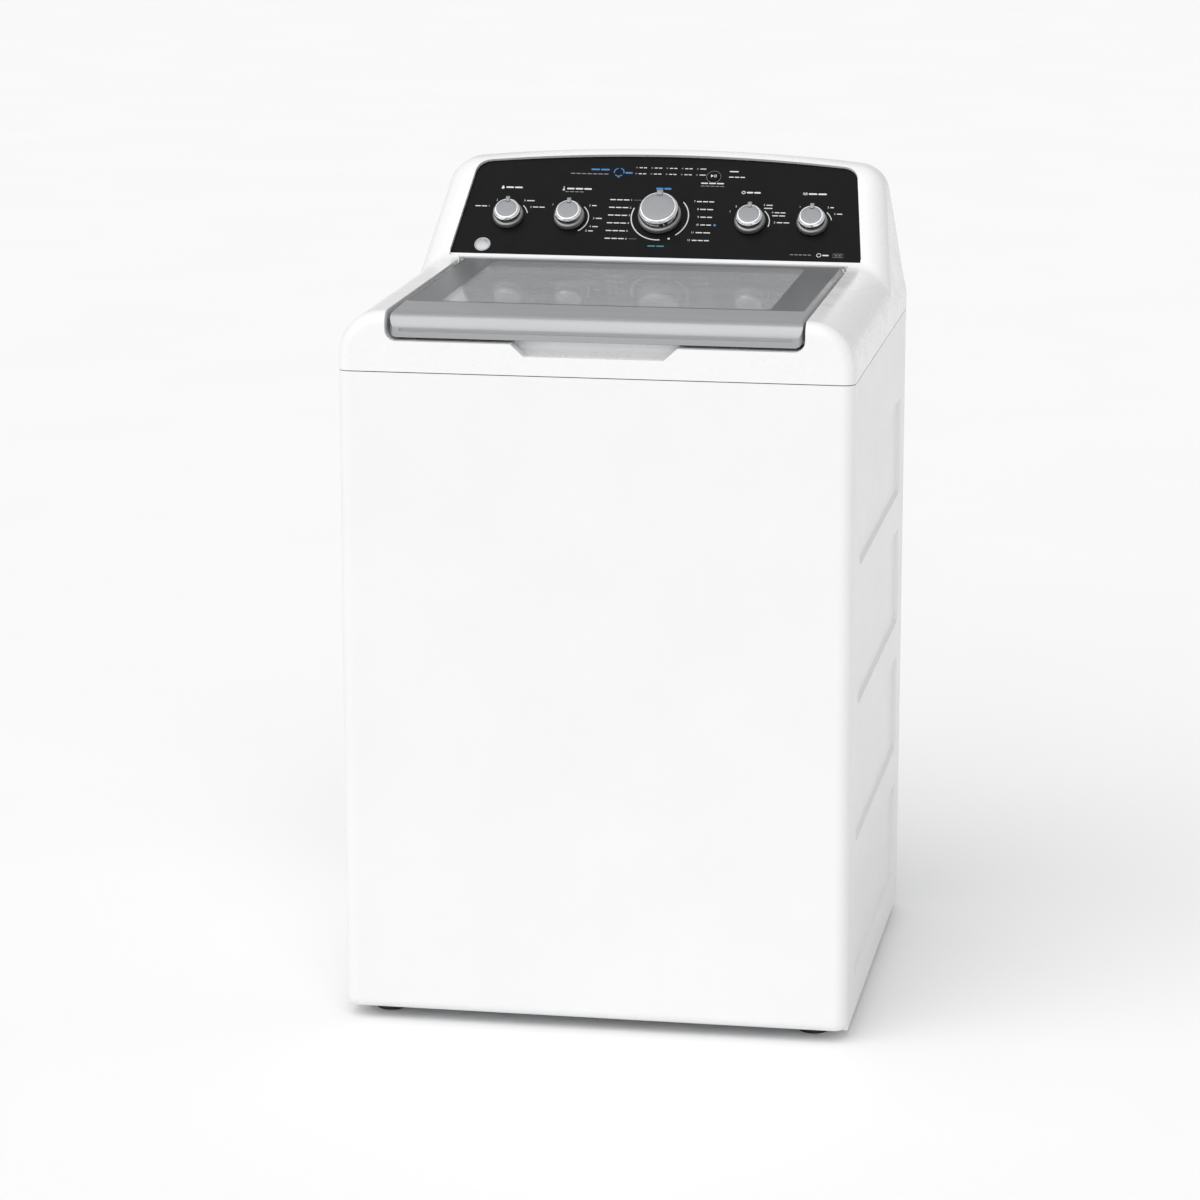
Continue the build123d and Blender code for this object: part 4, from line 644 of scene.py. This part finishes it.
glass_low, glass_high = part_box("lid_glass")
SIDE_BORDER, FRONT_BORDER, REAR_BORDER = 45 * MM, 7 * MM, 16 * MM
outer = rounded_box((glass_low.x + 0.9 * MM, glass_low.y + 0.9 * MM),
                    (glass_high.x - 0.9 * MM, glass_high.y - 0.9 * MM), 7 * MM)
inner = rounded_box((glass_low.x + SIDE_BORDER, glass_low.y + FRONT_BORDER),
                    (glass_high.x - SIDE_BORDER, glass_high.y - REAR_BORDER), 12 * MM)
bm = bmesh.new()
levels = [[bm.verts.new((x, y, z)) for x, y in outline]
          for outline, z in ((outer, glass_high.z - 0.05 * MM), (outer, glass_high.z + 0.08 * MM),
                             (inner, glass_high.z + 0.08 * MM), (inner, glass_high.z - 0.05 * MM))]
for here, there in zip(levels, levels[1:] + levels[:1]):
    for i in range(len(here)):
        j = (i + 1) % len(here)
        bm.faces.new((here[i], here[j], there[j], there[i]))
piece("glass_border", bm, Matrix(), "lid", BORDER)


# ---------------------------------------------------------------- springs and drain hose
def flexing(name, bm, node, slot):
    """A piece baked in place with no body, which hides the CAD node that it stands in for."""
    made = piece(name, bm, Matrix(), None, FINISH[slot])
    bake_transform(made)
    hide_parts(node)


def springs():
    """Four coil springs between the seats of the rods and the ears of the tub."""
    low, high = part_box("suspension_springs")
    wire_r, coil_r, turns, steps = 1.9 * MM, 12 * MM, 7, 24
    reach = wire_r + coil_r
    climb = (high.z - low.z - 2 * wire_r) / (turns * steps)
    bm = bmesh.new()
    for x in (low.x + reach, high.x - reach):
        for y in (low.y + reach, high.y - reach):
            coil = [
                Vector((x + coil_r * cos(2 * pi * i / steps), y + coil_r * sin(2 * pi * i / steps),
                        low.z + wire_r + climb * i))
                for i in range(turns * steps + 1)
            ]
            tube(bm, coil, [wire_r] * len(coil))
    flexing("coil_springs", bm, "suspension_springs", "spring_steel")


def rounded_route(points, rounds=4):
    """Route whose corners are cut again and again until it is smooth."""
    for _ in range(rounds):
        cut = [points[0]]
        for here, there in zip(points, points[1:]):
            cut += [here.lerp(there, 0.25), here.lerp(there, 0.75)]
        points = cut + [points[-1]]
    return points


def hose():
    """Drain hose from the pump to the rear of the cabinet and up it to the outlet."""
    hose_r, port_z, level_end = 12 * MM, 268.0 * MM, 40 * MM
    low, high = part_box("drain_hose")
    route = [
        (-190, low.y / MM, 268), (-190, 110, 268), (-202, 200, 256), (-205, 286, 278),
        (-205, 292, 480), (-205, 292, high.z / MM),
    ]
    path = rounded_route([MM * Vector(point) for point in route])
    bm = bmesh.new()
    tube(bm, path, [hose_r] * len(path), 24)
    flexing("drain_hose_bent", bm, "drain_hose", "hose_grey")


springs()
hose()


# ---------------------------------------------------------------- camera, light and floor
CAMERA_AT = (0.94869, -5.70381, 1.86092)
CAMERA_LENS = 127.43                  # on a sensor 36 mm wide
CAMERA_DOWN, CAMERA_TURN = 13.012, 9.907      # degrees


def lamp(name, kind, place, target, watts, **settings):
    """A light aimed at a point."""
    data = bpy.data.lights.new(name, kind)
    data.energy = watts
    for key, value in settings.items():
        setattr(data, key, value)
    made = bpy.data.objects.new(name, data)
    made.location = place
    made.rotation_euler = (Vector(target) - Vector(place)).to_track_quat("-Z", "Y").to_euler()
    bpy.context.scene.collection.objects.link(made)


def studio():
    """Pale floor, soft sun, even surround, and the camera."""
    half = 60.0
    floor_mesh = bpy.data.meshes.new("floor")
    corners = [(-half, -half, 0), (half, -half, 0), (half, half, 0), (-half, half, 0)]
    floor_mesh.from_pydata(corners, [], [(0, 1, 2, 3)])
    paper = Material("floor_paper", (0.92, 0.92, 0.92), 0.9)
    paper.color_between(paper.noise(2, 2), (0.945, 0.945, 0.945), (0.955, 0.955, 0.955))
    floor_mesh.materials.append(paper.material)
    floor = bpy.data.objects.new("floor", floor_mesh)
    bpy.context.scene.collection.objects.link(floor)

    middle = (0, 0, 0.7)
    lamp("sun", "SUN", (-1.6, -3.8, 4.7), middle, 1.68, angle=radians(80))
    lamp("overhead", "SUN", (0.3, 0.2, 5.0), middle, 0.14, angle=radians(60))

    world = bpy.data.worlds.new("studio")
    world.use_nodes = True
    background = world.node_tree.nodes["Background"]
    background.inputs["Color"].default_value = (1, 1, 1, 1)
    background.inputs["Strength"].default_value = 0.60
    bpy.context.scene.world = world
    bpy.context.scene.view_settings.view_transform = "Standard"

    camera_data = bpy.data.cameras.new("camera")
    camera_data.sensor_width = 36.0
    camera_data.lens = CAMERA_LENS
    camera_data.clip_end = 200
    camera = bpy.data.objects.new("camera", camera_data)
    camera.location = CAMERA_AT
    camera.rotation_euler = (pi / 2 - radians(CAMERA_DOWN), 0, radians(CAMERA_TURN))
    bpy.context.scene.collection.objects.link(camera)
    bpy.context.scene.camera = camera


studio()
